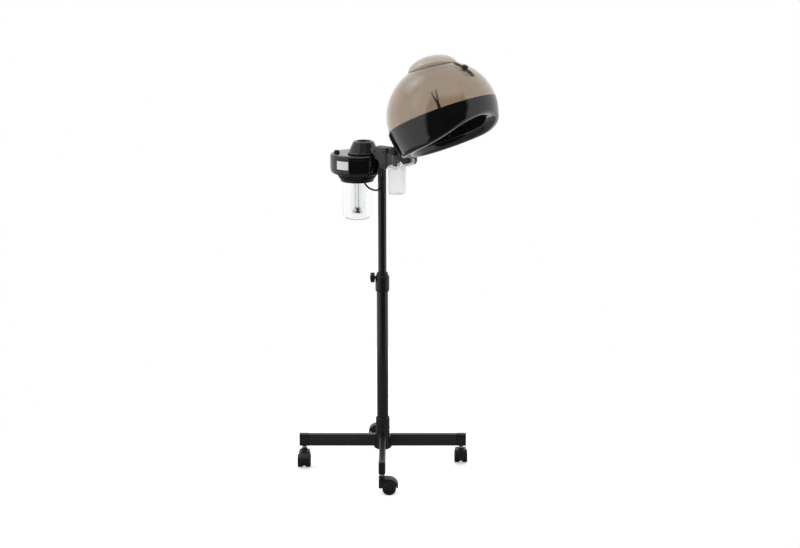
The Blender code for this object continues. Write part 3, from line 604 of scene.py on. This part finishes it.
def screw_mesh(radius=0.0032, height=0.0013):
    """Pan-head screw standing on z = 0 with a cross recess."""
    dome = [
        (0, -0.0004), (radius, -0.0004), (radius, height * 0.35), (radius * 0.8, height * 0.85), (0, height),
    ]
    head = lathe(eased(dome, 0.0003), 24)
    arm = radius * 0.55
    slim = radius * 0.13
    for half_x, half_y in ((arm, slim), (slim, arm)):
        head = settled(head, minus(block((-half_x, -half_y, height * 0.45), (half_x, half_y, height * 2))))
    return head


def screws(name, body, places, look="zinc_steel", radius=0.0032):
    """Screws at the given matrices, whose local Z points out of the surface."""
    head = screw_mesh(radius)
    piece(name, merged([put(head.copy(), place) for place in places]), body, look)


def ribbed(radius, low, high, ribs, depth, cut=0.0006):
    """Round grip with vertical ribs, as an extruded outline with rounded ends."""
    rim = []
    for step in range(ribs * 6):
        angle = math.tau * step / (ribs * 6)
        reach = radius - depth * (0.5 - 0.5 * math.cos(ribs * angle)) ** 2
        rim.append((reach * math.cos(angle), reach * math.sin(angle)))
    return settled(extruded(rim, low, high), rounding(cut, 2, 50))


# ---------------------------------------------------------------- rolling base

def section(width, height, radius, steps=6):
    """Rounded rectangle as (y, z) pairs."""
    half_y = width / 2 - radius
    half_z = height / 2 - radius
    corners = ((half_y, half_z, 0), (-half_y, half_z, 90), (-half_y, -half_z, 180), (half_y, -half_z, 270))
    points = []
    for y, z, angle in corners:
        points += arc((y, z), radius, angle, angle + 90, steps)
    return points


def leg_tube():
    outside = section(0.019, 0.038, 0.003)
    inside = section(0.0158, 0.0348, 0.0014)
    shape = bmesh.new()
    loops = []
    for x in (LEG_START, LEG_END):
        for line in (outside, inside):
            loops.append([shape.verts.new((x, y, z + LEG_MIDDLE_Z)) for y, z in line])
    for near, far in ((0, 2), (2, 3), (3, 1), (1, 0)):
        for place in range(len(outside)):
            after = (place + 1) % len(outside)
            shape.faces.new((loops[near][place], loops[near][after], loops[far][after], loops[far][place]))
    return new_mesh(shape)


def wheel():
    """Half of a twin wheel: tread with two grooves, dished side with a raised hub."""
    bore = 0.0033
    rim = WHEEL_RADIUS
    groove = rim - 0.0005
    side = WHEEL_WIDTH
    outline = [
        (bore, 0), (rim - 0.0012, 0), (rim, 0.0012), (rim, 0.0046), (groove, 0.0050), (groove, 0.0056),
        (rim, 0.0060), (rim, 0.0096), (groove, 0.0100), (groove, 0.0106), (rim, 0.0110),
        (rim, side - 0.0020), (rim - 0.0020, side), (0.0158, side), (0.0150, side - 0.0012),
        (0.0098, side - 0.0012), (0.0090, side - 0.0002), (0.0042, side), (0.0036, side - 0.0008),
        (0, side - 0.0008), (0, 0.0123), (bore, 0.0123),
    ]
    return lathe(eased(outline, 0.0005, 2), 64)


def build_base():
    hub_line = [
        (LOWER_RADIUS + GAP, 0.158), (0.0203, 0.158), (0.0215, 0.1565), (0.0215, 0.104), (0.028, 0.061),
        (0.025, 0.057), (0.006, 0.057), (0.006, 0.062), (LOWER_RADIUS + GAP, 0.062),
    ]
    hub = put(lathe(eased(hub_line, 0.0010), 96), STAND)
    for leg in LEGS:
        channel = put(block((0.0219, -0.0098, 0.0637), (0.05, 0.0098, 0.1023)), leg)
        hub = settled(hub, minus(channel))
    piece("hub_casting", hub, "base", "stand_black", "hub")
    sides = [leg @ moved(0.0213, 0, 0.122) @ turned(y=90) for leg in LEGS[:2]]
    screws("hub_set_screws", "base", sides, "moulded_black", 0.0028)
    tread = wheel()
    tube = leg_tube()
    stem_line = [
        (0, 0.034), (0.004, 0.034), (0.004, 0.0566), (0.0065, 0.0566), (0.0065, 0.0615), (0.0055, 0.0628),
        (0.004, 0.0628), (0.004, 0.0875), (0, 0.0882),
    ]
    stem = lathe(eased(stem_line, 0.0005), 32)
    axle = lathe(eased([(0, -0.016), (0.003, -0.016), (0.003, 0.016), (0, 0.016)], 0.0003), 24)
    for name, leg, swivel in zip(LEG_NAMES, LEGS, SWIVELS):
        piece(f"leg_tube_{name}", put(tube.copy(), leg), "base", "stand_black", f"leg_{name}")
        cap = from_cad(f"leg_cap_{name}", 0.0009)
        piece(f"leg_end_{name}", cap, "base", "moulded_black", f"leg_cap_{name}")
        pin = put(stem.copy(), leg @ moved(x=STEM_REACH))
        piece(f"caster_pin_{name}", pin, "base", "zinc_steel", f"caster_stem_{name}")
        body = f"caster_{name}"
        piece(f"caster_hood_{name}", from_cad(f"caster_housing_{name}", 0.0007, 2, 40), body, "moulded_black",
              f"caster_housing_{name}")
        centre = swivel @ moved(x=TRAIL, z=WHEEL_RADIUS)
        rod = put(axle.copy(), centre @ turned(x=90))
        piece(f"caster_rod_{name}", rod, body, "zinc_steel", f"caster_axle_{name}")
        for letter, side in (("a", 1), ("b", -1)):
            place = centre @ moved(y=side * (WEB_HALF + GAP)) @ turned(x=-90 * side)
            node = f"caster_wheel_{name}_{letter}"
            half = put(tread.copy(), place)
            piece(f"wheel_{name}_{letter}", half, f"wheel_{name}_{letter}", "wheel_black", node)


# ------------------------------------------------------------------------ mast

def lobed(radius, near, far, lobes):
    """Hand knob along X with finger lobes and a rounded rim."""
    rim = []
    for step in range(lobes * 16):
        angle = math.tau * step / (lobes * 16)
        reach = radius * (0.91 + 0.09 * math.cos(lobes * angle))
        rim.append((reach * math.cos(angle), reach * math.sin(angle)))
    grip = settled(extruded(rim, near, far), rounding(min(0.0018, (far - near) * 0.3), 4, 50))
    return put(grip, turned(y=90))


def build_mast():
    lower = [(0.0160, 0.0623), (LOWER_RADIUS, 0.0623), (LOWER_RADIUS, 0.600), (0.0160, 0.600)]
    piece("mast_lower", put(lathe(eased(lower, 0.0004), 96), STAND), "base", "stand_black", "lower_tube")
    upper = [(0.0113, 0.200), (UPPER_RADIUS, 0.200), (UPPER_RADIUS, 1.000), (0.0113, 1.000)]
    piece("mast_upper", put(lathe(eased(upper, 0.0004), 96), STAND), "mast", "stand_black", "upper_tube")
    collar_line = [
        (0.0178, 0.563), (0.0193, 0.563), (0.0215, 0.567), (0.0215, 0.6075), (0.0208, 0.6080),
        (0.0208, 0.6088), (0.0214, 0.6093), (0.0212, 0.611), (0.0200, 0.613), (0.0180, 0.6145),
        (0.0168, 0.622), (0.0158, 0.623), (0.0130, 0.623), (0.0130, 0.6003), (0.0178, 0.6003),
    ]
    turn = STAND @ turned(z=HEIGHT_KNOB_HEADING)
    bore = put(extruded(circle(0.0033), 0.010, 0.026), moved(z=HEIGHT_KNOB_Z) @ turned(y=90))
    collar = settled(lathe(eased(collar_line, 0.0007), 96), minus(bore))
    piece("collar_sleeve", put(collar, turn), "base", "moulded_black", "height_collar")
    knob = lobed(0.0155, 0.0235, 0.0360, 6)
    boss = [(0, 0.034), (0.0095, 0.034), (0.0095, 0.0366), (0.0082, 0.0375), (0, 0.0375)]
    stud = [(0, 0.0130), (0.003, 0.0130), (0.003, 0.026), (0, 0.026)]
    shoulder = [(0, 0.0222), (0.0068, 0.0222), (0.0075, 0.0245), (0, 0.0245)]
    parts = [knob] + [put(lathe(eased(line, 0.0005), 40), turned(y=90)) for line in (boss, stud, shoulder)]
    grip = put(merged(parts), turn @ moved(z=HEIGHT_KNOB_Z))
    piece("height_hand_knob", grip, "height_handle", "moulded_black", "height_knob")


# ---------------------------------------------------------------- head bracket

def build_bracket():
    piece("bracket_body", from_cad("head_bracket", 0.0009), "head", "bracket_black", "head_bracket")
    pipe_line = [(0.0125, 0.0213), (0.0155, 0.0213), (0.0155, 0.045), (0.0125, 0.045)]
    tube = put(lathe(eased(pipe_line, 0.0004), 72), moved(z=0.992) @ turned(x=-90))
    foot = block((-0.03, 0.0, 0.95), (0.03, 0.06, TOWER_FLANGE_TOP + GAP))
    cone = [
        (0, 0.98), (0.0467, 0.98), (0.0467, TOWER_FLANGE_TOP), (0.0323, TOWER_TOP - 0.003), (0, TOWER_TOP),
    ]
    tube = settled(tube, minus(foot), minus(put(lathe(cone, 96), moved(y=TOWER_Y))))
    piece("steam_outlet_pipe", put(tube, STAND), "head", "bracket_black", "steam_pipe")
    places = []
    for sign in (1, -1):
        for height, depth in ((0.998, -0.021), (0.958, -0.020), (0.998, 0.014)):
            places.append(STAND @ moved(-BRACKET_HALF * sign, depth, height) @ turned(y=-90 * sign))
    screws("bracket_screws", "head", places, "moulded_black")
    boot_line = [
        (0, 0.9200), (0.0038, 0.9200), (0.0045, 0.9206), (0.0050, 0.9240), (0.0046, 0.9246), (0.0053, 0.9280),
        (0.0049, 0.9286), (0.0057, 0.9318), (0.0053, 0.9324), (0.0062, 0.9352), (0.0066, 0.9360),
        (0.0072, 0.9390), (0.0072, 0.9457), (0, 0.9457),
    ]
    boot = put(lathe(eased(boot_line, 0.0004, 2), 40), STAND @ moved(CABLE_ROUTE[-1][0], CABLE_ROUTE[-1][1]))
    piece("cable_strain_boot", boot, "head", "black_rubber", "cable_boot")


# ------------------------------------------------------------- steam generator

def build_vent_ring():
    """Sloping ring with a groove all round, crossed by upright ribs that leave the slots open."""
    outline = [
        (RISER_RADIUS + GAP, VENT_LOW), (0.0510, VENT_LOW), (0.0520, 0.9020), (0.0532, 0.9036),
        (0.0502, 0.9046), (0.0590, 0.9168), (0.0629, 0.9174), (0.0646, 0.9197), (0.0575, 0.9197),
        (0.0490, 0.9055), (RISER_RADIUS + GAP, 0.9055),
    ]
    parts = [lathe(eased(outline, 0.0004, 2), 128)]
    slope = math.degrees(math.atan2(0.0646 - 0.0520, 0.9197 - 0.9020))
    rib = settled(block((-0.0040, -0.0012, -0.0088), (0.0, 0.0012, 0.0088)), rounding(0.0004, 2, 40))
    for step in range(VENT_SLOTS):
        spot = turned(z=360 * step / VENT_SLOTS) @ moved(x=0.0582, z=0.9107) @ turned(y=slope)
        parts.append(put(rib.copy(), spot))
    piece("vent_ring_slotted", put(merged(parts), CASE), "head", "moulded_black", "vent_ring")


def build_generator():
    cover = [
        (0.0650, CASE_LOW), (0.0770, 0.922), (0.0810, 0.928), (CASE_RADIUS, 0.938), (CASE_RADIUS, 0.9700),
        (0.0819, 0.9704), (0.0819, 0.9712), (CASE_RADIUS, 0.9716), (CASE_RADIUS, 0.974), (0.0808, 0.979),
        (0.0760, CASE_TOP), (0.018, CASE_TOP), (0.018, 0.979), (0.0735, 0.979), (0.0795, 0.973),
        (0.0795, 0.938), (0.0755, 0.925), (0.0650, 0.923),
    ]
    case = put(lathe(eased(cover, 0.0022, 5), 180), CASE)
    piece("generator_case", case, "head", "gloss_black", "generator_cover")
    build_vent_ring()
    ring = [(0.0468, 0.8955), (0.0495, 0.8955), (0.0505, 0.8965), (0.0505, 0.9007), (0.0468, 0.9007)]
    grips = [put(lathe(eased(ring, 0.0004, 2), 96), CASE)]
    for step in range(LOCK_GRIPS):
        spot = CASE @ turned(z=360 * step / LOCK_GRIPS) @ moved(x=0.0503, z=0.8982)
        grip = settled(block((-0.0006, -0.0008, -0.0016), (0.0006, 0.0008, 0.0016)), rounding(0.0002, 1))
        grips.append(put(grip, spot))
    piece("tank_lock_ring", merged(grips), "tank_lock", "moulded_black", "tank_ring")
    corner = (TANK_RADIUS - TANK_CORNER, TANK_LOW + TANK_CORNER)
    outside = arc(corner, TANK_CORNER, -90, 0, 12)
    inside = arc(corner, TANK_CORNER - TANK_WALL, 0, -90, 12)
    lip = 0.9004
    tank = [
        (0, TANK_LOW), *outside, (TANK_RADIUS, lip), (TANK_RADIUS - TANK_WALL, lip), *inside,
        (0, TANK_LOW + TANK_WALL),
    ]
    piece("tank_bowl", put(lathe(tank, 96), CASE), "tank", "clear_shell", "water_tank")
    riser = [(0.0195, 0.807), (RISER_RADIUS, 0.807), (RISER_RADIUS, 0.976), (0.0195, 0.976)]
    piece("riser_tube", put(lathe(eased(riser, 0.0003), 72), CASE), "head", "clear_shell", "steam_riser")
    heater = [
        (0, 0.797), (0.0165, 0.797), (0.0175, 0.798), (0.0175, 0.802), (0.0120, 0.803), (0.0120, 0.813),
        (0.0105, 0.815), (0, 0.815),
    ]
    rods = []
    for radius, sides, x, y in ((0.0011, 16, 0.006, 0.0), (0.0007, 12, -0.007, 0.003)):
        line = [(0, 0.812), (radius, 0.812), (radius, 0.976), (0, 0.976)]
        rods.append(put(lathe(line, sides), moved(x, y)))
    steel = merged([lathe(eased(heater, 0.0006), 64), *rods])
    piece("heater_element", put(steel, CASE), "head", "heater_steel", "heater")
    tower = [
        (0.0400, 0.9823), (0.0478, 0.9823), (0.0488, 0.9835), (0.0488, 0.9868), (0.0478, TOWER_FLANGE_TOP),
        (0.0462, TOWER_FLANGE_TOP), (0.0318, 1.018), (0.0296, 1.0205), (0.0268, TOWER_TOP), (0.0225, 1.0202),
        (0.0205, 1.015), (0.0130, 1.013), (0.0130, 1.0105), (0.0270, 1.011), (0.0400, 0.988),
    ]
    cone = put(lathe(eased(tower, 0.0014, 4), 144), STAND @ moved(y=TOWER_Y))
    piece("tower_cone", cone, "head", "gloss_black", "steam_tower")
    knob_place = STAND @ moved(-0.039, CASE_Y + 0.048)
    skirt = [(0, 0.9823), (0.0095, 0.9823), (0.0095, 0.9838), (0.0084, 0.9848), (0, 0.9848)]
    top = [(0, 0.9890), (0.0066, 0.9890), (0.0060, 0.9898), (0, 0.9898)]
    mark = block((-0.0004, 0.0010, 0.9896), (0.0004, 0.0058, 0.9900))
    parts = [
        lathe(eased(skirt, 0.0004), 48), ribbed(0.0079, 0.984, 0.9893, 18, 0.0005),
        lathe(eased(top, 0.0003), 48), mark,
    ]
    piece("timer_dial", put(merged(parts), knob_place), "timer", "moulded_black", "timer_knob")
    label = [(0.0827, 0.9410), (0.0832, 0.9410), (0.0832, 0.9665), (0.0827, 0.9665)]
    plate = lathe(eased(label, 0.0001, 1), 24, start=173.5, sweep=28.0)
    piece("rating_film", put(plate, CASE), "head", "blank_label", "rating_plate")


def build_cup():
    cup = [
        (0, CUP_LOW), (0.0215, CUP_LOW), (0.0250, 0.876), (CUP_RADIUS, 0.880), (CUP_RADIUS, 0.9507),
        (0.0247, 0.9507), (0.0247, 0.8795), (0.0215, 0.876), (0, 0.876),
    ]
    place = STAND @ moved(y=CUP_Y)
    piece("drip_cup_bowl", put(lathe(eased(cup, 0.0012, 4), 96), place), "cup", "milky_shell", "drip_cup")
    plug = 0.0244
    lid = [
        (0, 0.9505), (plug - 0.002, 0.9505), (plug - 0.002, 0.945), (plug, 0.945), (plug, LID_LOW),
        (0.0275, LID_LOW), (0.0275, 0.956), (0.0265, LID_TOP), (0, LID_TOP),
    ]
    spot = moved(-0.012, -0.074 - CUP_Y)
    collar = put(extruded(circle(0.0058), LID_LOW + 0.002, 0.9595), spot)
    hole = put(extruded(circle(0.0030), 0.94, 0.97), spot)
    lid = settled(lathe(eased(lid, 0.0007), 96), plus(collar), minus(hole))
    piece("drip_cup_cover", put(lid, place), "head", "milky_shell", "drip_cup_lid")


# ------------------------------------------------------------------------ hood

BAND_LINE = (
    (0.164, 0.0), (0.1637, -0.012), (0.1620, -0.030), (0.1592, -0.047), (0.1556, -0.063), (0.1532, -0.0735),
    (0.1498, -0.0800), (0.1440, -0.083),
)


def arch_lift(heading, height):
    """Rise of the rim above the wearer's face, centred on -Y."""
    away = abs(math.degrees((heading + math.pi / 2 + math.pi) % math.tau - math.pi))
    if away >= ARCH_HALF or height > -0.001:
        return 0.0
    share = min(1.0, -height / 0.080)
    return ARCH_LIFT * (0.5 + 0.5 * math.cos(math.pi * away / ARCH_HALF)) * share ** 1.2


def dome_point(angle, offset=0.0):
    turn = math.radians(angle)
    return ((HOOD_RADIUS + offset) * math.sin(turn), (DOME_HEIGHT + offset) * math.cos(turn))


def tidy_axis(outline):
    return [(radius if radius > 1e-9 else 0, height) for radius, height in outline]


def dome_shell(inner, outer, rings, sides, start=-90.0, sweep=360.0, top=0.0, bottom=90.0):
    angles = [top + (bottom - top) * step / rings for step in range(rings + 1)]
    outline = [dome_point(angle, outer) for angle in angles]
    outline += [dome_point(angle, inner) for angle in reversed(angles)]
    return lathe(tidy_axis(outline), sides, start, sweep)


def build_band():
    outer = [tuple(point) for point in flowing(BAND_LINE, 4)]
    under = flowing(((0.1345, -RIM_DROP), (0.1245, -0.0796), (0.1165, -0.0722), (0.1122, -0.0628)), 3)
    trough = flowing(((0.1136, -0.0612), (0.1182, -0.0705), (0.1258, -0.0773), (0.1350, -0.0805)), 3)
    gutter = [tuple(point) for point in (*under, *trough)]
    inside = [
        (0.1412, -0.0805), (0.1495, -0.0755), (0.1524, -0.0630), (0.1560, -0.0470), (0.1606, -0.012),
        (HOOD_RADIUS - 0.0030, 0.0),
    ]
    outline = outer[:-1] + eased([outer[-1], *gutter, *inside], 0.0005, 2)
    band = lathe(outline, 216, start=-90, lift=arch_lift, sharp=50)
    piece("band_shell", put(band, HOOD @ moved(z=-GAP / 2)), "hood", "gloss_black", "hood_band")
    wall = [(0.1486, -0.0755), (0.1520, -0.0630), (0.1556, -0.0470), (0.1602, -0.0120), (0.1606, -0.0012)]
    lining = wall + [(radius - 0.0006, height) for radius, height in reversed(wall)]
    mesh = lathe(eased(lining, 0.0002, 1), 216, start=-90, lift=arch_lift, sharp=50)
    piece("band_lining", put(mesh, HOOD @ moved(z=-GAP / 2)), "hood", "gloss_black", tone="matt_lining")


def cap_line(inset, steps=14):
    turns = [math.radians(90 * step / steps) for step in range(steps + 1)]
    rise = CAP_HEIGHT - inset + CAP_FOOT
    return [((CAP_RADIUS - inset) * math.sin(turn), rise * math.cos(turn) - CAP_FOOT) for turn in turns]


def build_dome():
    shell = dome_shell(-DOME_WALL, 0.0, 40, 144)
    slot = block((-0.003, VENT_SLOT_Y[0], VENT_SLOT_LOW), (0.003, VENT_SLOT_Y[1], 0.160))
    dome = settled(shell, minus(slot))
    piece("dome_shell", put(dome, HOOD @ moved(z=GAP / 2)), "hood", "smoke_shell", "hood_dome")
    share = math.sqrt(1 - (CAP_FORWARD / HOOD_RADIUS) ** 2)
    lean = math.degrees(math.atan2(DOME_HEIGHT * CAP_FORWARD, HOOD_RADIUS ** 2 * share))
    place = moved(0, -CAP_FORWARD, DOME_HEIGHT * share) @ turned(x=lean)
    outline = tidy_axis(cap_line(0.0) + list(reversed(cap_line(CAP_WALL))))
    keep_out = [dome_point(angle, 0.0004) for angle in range(0, 61, 3)]
    keep_out = tidy_axis(keep_out)
    keep_out = lathe([*keep_out, (0, keep_out[-1][1])], 144, -90)
    cap = settled(put(lathe(outline, 96), place), minus(keep_out))
    piece("crown_cap", put(cap, HOOD), "hood", "smoke_shell", "hood_cap", tone="pale_smoke")
    ring = []
    reach = CAP_RADIUS * 1.004
    for step in range(121):
        heading = math.tau * step / 120
        foot = place @ Vector((reach * math.cos(heading), reach * math.sin(heading), 0))
        across = foot.xy.length
        foot.z = (DOME_HEIGHT + 0.0008) * math.sqrt(1 - (across / (HOOD_RADIUS + 0.0008)) ** 2)
        ring.append(HOOD @ foot)
    bead = pipe(ring, 0.0009, sides=10)
    piece("crown_cap_bead", bead, "hood", "smoke_shell")


def build_vent():
    rail = dome_shell(0.0004, 0.0018, 30, 24, -100.0, 20.0, 39.0, 66.0)
    high = block((0.0065, -0.2, 0.0), (0.08, 0.0, 0.2))
    low = block((-0.08, -0.2, 0.0), (-0.0065, 0.0, 0.2))
    slot = block((-0.0036, VENT_SLOT_Y[0], VENT_SLOT_LOW), (0.0036, VENT_SLOT_Y[1], 0.200))
    rail = settled(rail, minus(high), minus(low), minus(slot), rounding(0.0004, 2, 40))
    piece("vent_slide_rail", put(rail, HOOD @ moved(z=GAP / 2)), "hood", "moulded_black", "vent_rail")
    shutter = dome_shell(-DOME_WALL - 0.0035, -DOME_WALL - 0.0020, 20, 48, -110.0, 40.0, 38.0, 63.0)
    trims = (((0.022, -0.2, 0.0), (0.08, 0.0, 0.2)), ((-0.08, -0.2, 0.0), (-0.022, 0.0, 0.2)))
    for low_corner, high_corner in trims:
        shutter = settled(shutter, minus(block(low_corner, high_corner)))
    piece("vent_shutter_leaf", put(shutter, HOOD), "vent", "smoke_shell", "vent_shutter")
    height = DOME_HEIGHT * math.sqrt(1 - (VENT_AT / HOOD_RADIUS) ** 2)
    lean = math.degrees(math.atan2(VENT_AT + VENT_CENTRE_Y, height - VENT_CENTRE_Z))
    reach = math.hypot(VENT_AT + VENT_CENTRE_Y, height - VENT_CENTRE_Z)
    post = [(0, reach - 0.0029), (0.0021, reach - 0.0029), (0.0021, reach + 0.0024), (0.0078, reach + 0.0026),
            (0.0078, reach + 0.0042), (0, reach + 0.0042)]
    crown = [(0, reach + 0.0078), (0.0072, reach + 0.0078), (0.0066, reach + 0.0094), (0, reach + 0.0100)]
    parts = [lathe(eased(post, 0.0004), 48), ribbed(0.0084, reach + 0.0034, reach + 0.0082, 20, 0.0006)]
    parts.append(lathe(eased(crown, 0.0005), 48))
    place = HOOD @ moved(0, VENT_CENTRE_Y, VENT_CENTRE_Z) @ turned(x=lean)
    piece("vent_grip", put(merged(parts), place), "vent", "moulded_black", "vent_knob")


def build_arm():
    piece("arm_fork", from_cad("hood_arm", 0.0008), "hood", "moulded_black", "hood_arm")
    grip = lobed(0.013, -ARM_HALF - 0.0120, -ARM_HALF - GAP, 8)
    boss = [(0, -ARM_HALF - 0.0135), (0.0075, -ARM_HALF - 0.0135), (0.0085, -ARM_HALF - 0.0125),
            (0.0085, -ARM_HALF - 0.0100), (0, -ARM_HALF - 0.0100)]
    stud = [
        (0, -ARM_HALF - 0.002), (0.003, -ARM_HALF - 0.002), (0.003, ARM_HALF - 0.002), (0, ARM_HALF - 0.002),
    ]
    parts = [grip] + [put(lathe(eased(line, 0.0004), 40), turned(y=90)) for line in (boss, stud)]
    piece("tilt_hand_knob", put(merged(parts), TILT), "tilt_handle", "moulded_black", "tilt_knob")
    middle = [point for point in BAND_LINE if -0.070 < point[1] < -0.005]
    line = [(0.1640, -0.005), *middle, (0.1539, -0.070)]
    plate = [(radius + 0.0034, height) for radius, height in line]
    plate += [(radius + 0.0004, height) for radius, height in reversed(line)]
    mesh = lathe(eased(plate, 0.0008), 60, start=40.0, sweep=100.0)
    piece("rear_mount_plate", put(mesh, HOOD @ moved(z=-GAP / 2)), "hood", "moulded_black", "hood_rear_plate")
    places = []
    for heading in (52, 68, 112, 128):
        for height, radius in ((-0.018, 0.1663), (-0.058, 0.1599)):
            lean = 3 if height > -0.03 else 12
            places.append(HOOD @ turned(z=heading) @ moved(x=radius, z=height) @ turned(y=90 + lean))
    screws("rear_plate_screws", "hood", places, "moulded_black", 0.0030)
    cap = put(screw_mesh(0.0062, 0.0016), TILT @ moved(x=ARM_HALF) @ turned(y=90))
    piece("pivot_cap", cap, "hood", "moulded_black")


def build_nozzle():
    """Forked steam outlet: a tapering pipe that splits into two curved prongs."""
    heading = math.degrees(math.atan2(NOZZLE_Y, NOZZLE_X)) + 90
    trunk = [(0, -0.0600), (0.0050, -0.0600), (0.0050, 0.020), (0.0046, 0.048), (0.0036, 0.060), (0, 0.060)]
    collar = [(0, -0.0590), (0.0068, -0.0590), (0.0068, -0.0530), (0.0056, -0.0500), (0, -0.0500)]
    parts = [lathe(eased(trunk, 0.0006), 32), lathe(eased(collar, 0.0005), 32)]
    for side in (-1, 1):
        bend = [
            (side * 0.0010, 0, 0.046), (side * 0.0026, 0, 0.060), (side * 0.0050, 0, 0.074),
            (side * 0.0074, 0, 0.0915),
        ]
        parts.append(pipe(flowing(bend, 6), 0.0026, sides=16))
    piece("nozzle_fork", put(merged(parts), HOOD @ moved(NOZZLE_X, NOZZLE_Y) @ turned(z=heading)), "hood",
          "moulded_black", "steam_nozzle")


build_base()
build_mast()
build_bracket()
build_generator()
build_cup()
build_band()
build_dome()
build_vent()
build_arm()
build_nozzle()


# --------------------------------------------------------------- floor and light

def joined(tree, operation, first, second):
    """Result of a maths node on two sockets, or on a socket and a number."""
    node = tree.nodes.new("ShaderNodeMath")
    node.operation = operation
    link(tree, first, node.inputs[0])
    if isinstance(second, float):
        node.inputs[1].default_value = second
    else:
        link(tree, second, node.inputs[1])
    return node.outputs["Value"]


def seen_straight(tree, limit):
    """1 for a ray from the camera or through clear pieces only, and 0 for any other."""
    path = tree.nodes.new("ShaderNodeLightPath")
    bounced = joined(tree, "SUBTRACT", path.outputs["Ray Depth"], path.outputs["Transmission Depth"])
    straight = joined(tree, "LESS_THAN", bounced, limit)
    through = joined(tree, "MULTIPLY", straight, path.outputs["Is Transmission Ray"])
    return joined(tree, "MAXIMUM", path.outputs["Is Camera Ray"], through)


def build_floor():
    """Round white floor, which glossy faces mirror as grey; past its edge the backdrop is the same white."""
    shape = bmesh.new()
    shape.faces.new([shape.verts.new((x, y, -0.0004)) for x, y in circle(FLOOR_RADIUS, 96, (0.0, MAST_Y))])
    floor = bpy.data.objects.new("floor", new_mesh(shape))
    made, tree, shader = new_look("floor_white")
    shader.inputs["Base Color"].default_value = (0.90, 0.90, 0.90, 1.0)
    shader.inputs["Roughness"].default_value = 0.9
    shader.inputs["Specular IOR Level"].default_value = 0.1
    shader.inputs["Emission Color"].default_value = (1.0, 1.0, 1.0, 1.0)
    shader.inputs["Emission Strength"].default_value = FLOOR_GLOW
    dim = tree.nodes.new("ShaderNodeBsdfDiffuse")
    dim.inputs["Color"].default_value = (FLOOR_GREY, FLOOR_GREY, FLOOR_GREY, 1.0)
    mix = tree.nodes.new("ShaderNodeMixShader")
    link(tree, seen_straight(tree, SURFACE_LIMIT), mix.inputs["Fac"])
    link(tree, dim.outputs["BSDF"], mix.inputs[1])
    link(tree, shader.outputs["BSDF"], mix.inputs[2])
    link(tree, mix.outputs["Shader"], tree.nodes["Material Output"].inputs["Surface"])
    floor.data.materials.append(made)
    bpy.context.scene.collection.objects.link(floor)


def set_world():
    """White studio with a dark side, which glossy faces mirror as a black band; the backdrop is white."""
    world = bpy.data.worlds.new("studio")
    bpy.context.scene.world = world
    world.use_nodes = True
    tree = world.node_tree
    background = tree.nodes["Background"]
    place = tree.nodes.new("ShaderNodeTexCoord")
    flat = tree.nodes.new("ShaderNodeVectorMath")
    flat.operation = "MULTIPLY"
    flat.inputs[1].default_value = (1.0, 1.0, 0.0)
    unit = tree.nodes.new("ShaderNodeVectorMath")
    unit.operation = "NORMALIZE"
    toward = tree.nodes.new("ShaderNodeVectorMath")
    toward.operation = "DOT_PRODUCT"
    toward.inputs[1].default_value = turned(z=DARK_TURN).to_3x3() @ CAMERA_SIDE
    link(tree, place.outputs["Generated"], flat.inputs[0])
    link(tree, flat.outputs["Vector"], unit.inputs[0])
    link(tree, unit.outputs["Vector"], toward.inputs[0])
    edges = [math.cos(math.radians(angle)) for angle in DARK_EDGES]
    side = spread(tree, toward.outputs["Value"], 1.0, DARK_LEVEL, *edges)
    height = tree.nodes.new("ShaderNodeSeparateXYZ")
    link(tree, place.outputs["Generated"], height.inputs["Vector"])
    above = spread(tree, height.outputs["Z"], 0.0, 1.0, *DARK_TOP)
    lit = joined(tree, "MAXIMUM", side, above)
    background.inputs["Color"].default_value = (1.0, 1.0, 1.0, 1.0)
    strength = joined(tree, "MAXIMUM", lit, seen_straight(tree, WORLD_LIMIT))
    link(tree, strength, background.inputs["Strength"])


def add_lamp(name, direction, distance, size, power):
    """Round soft box that faces the hood."""
    data = bpy.data.lights.new(name, "AREA")
    data.shape = "DISK"
    data.size = size
    data.energy = power
    lamp = bpy.data.objects.new(name, data)
    aim = HOOD.translation
    away = Vector(direction).normalized()
    lamp.location = aim + away * distance
    lamp.rotation_euler = away.to_track_quat("Z", "Y").to_euler()
    lamp.visible_camera = False
    lamp.visible_transmission = False
    bpy.context.scene.collection.objects.link(lamp)
    return lamp


build_floor()
set_world()
for width in KEY_WIDTHS:
    add_lamp(f"key_disc_{round(width * 100)}", KEY_SIDE, KEY_DISTANCE, width, KEY_POWER * width)
fill = add_lamp("front_fill", FILL_SIDE, KEY_DISTANCE, FILL_WIDTH, FILL_POWER)
fill.visible_glossy = False
bpy.context.scene.view_settings.view_transform = "Standard"
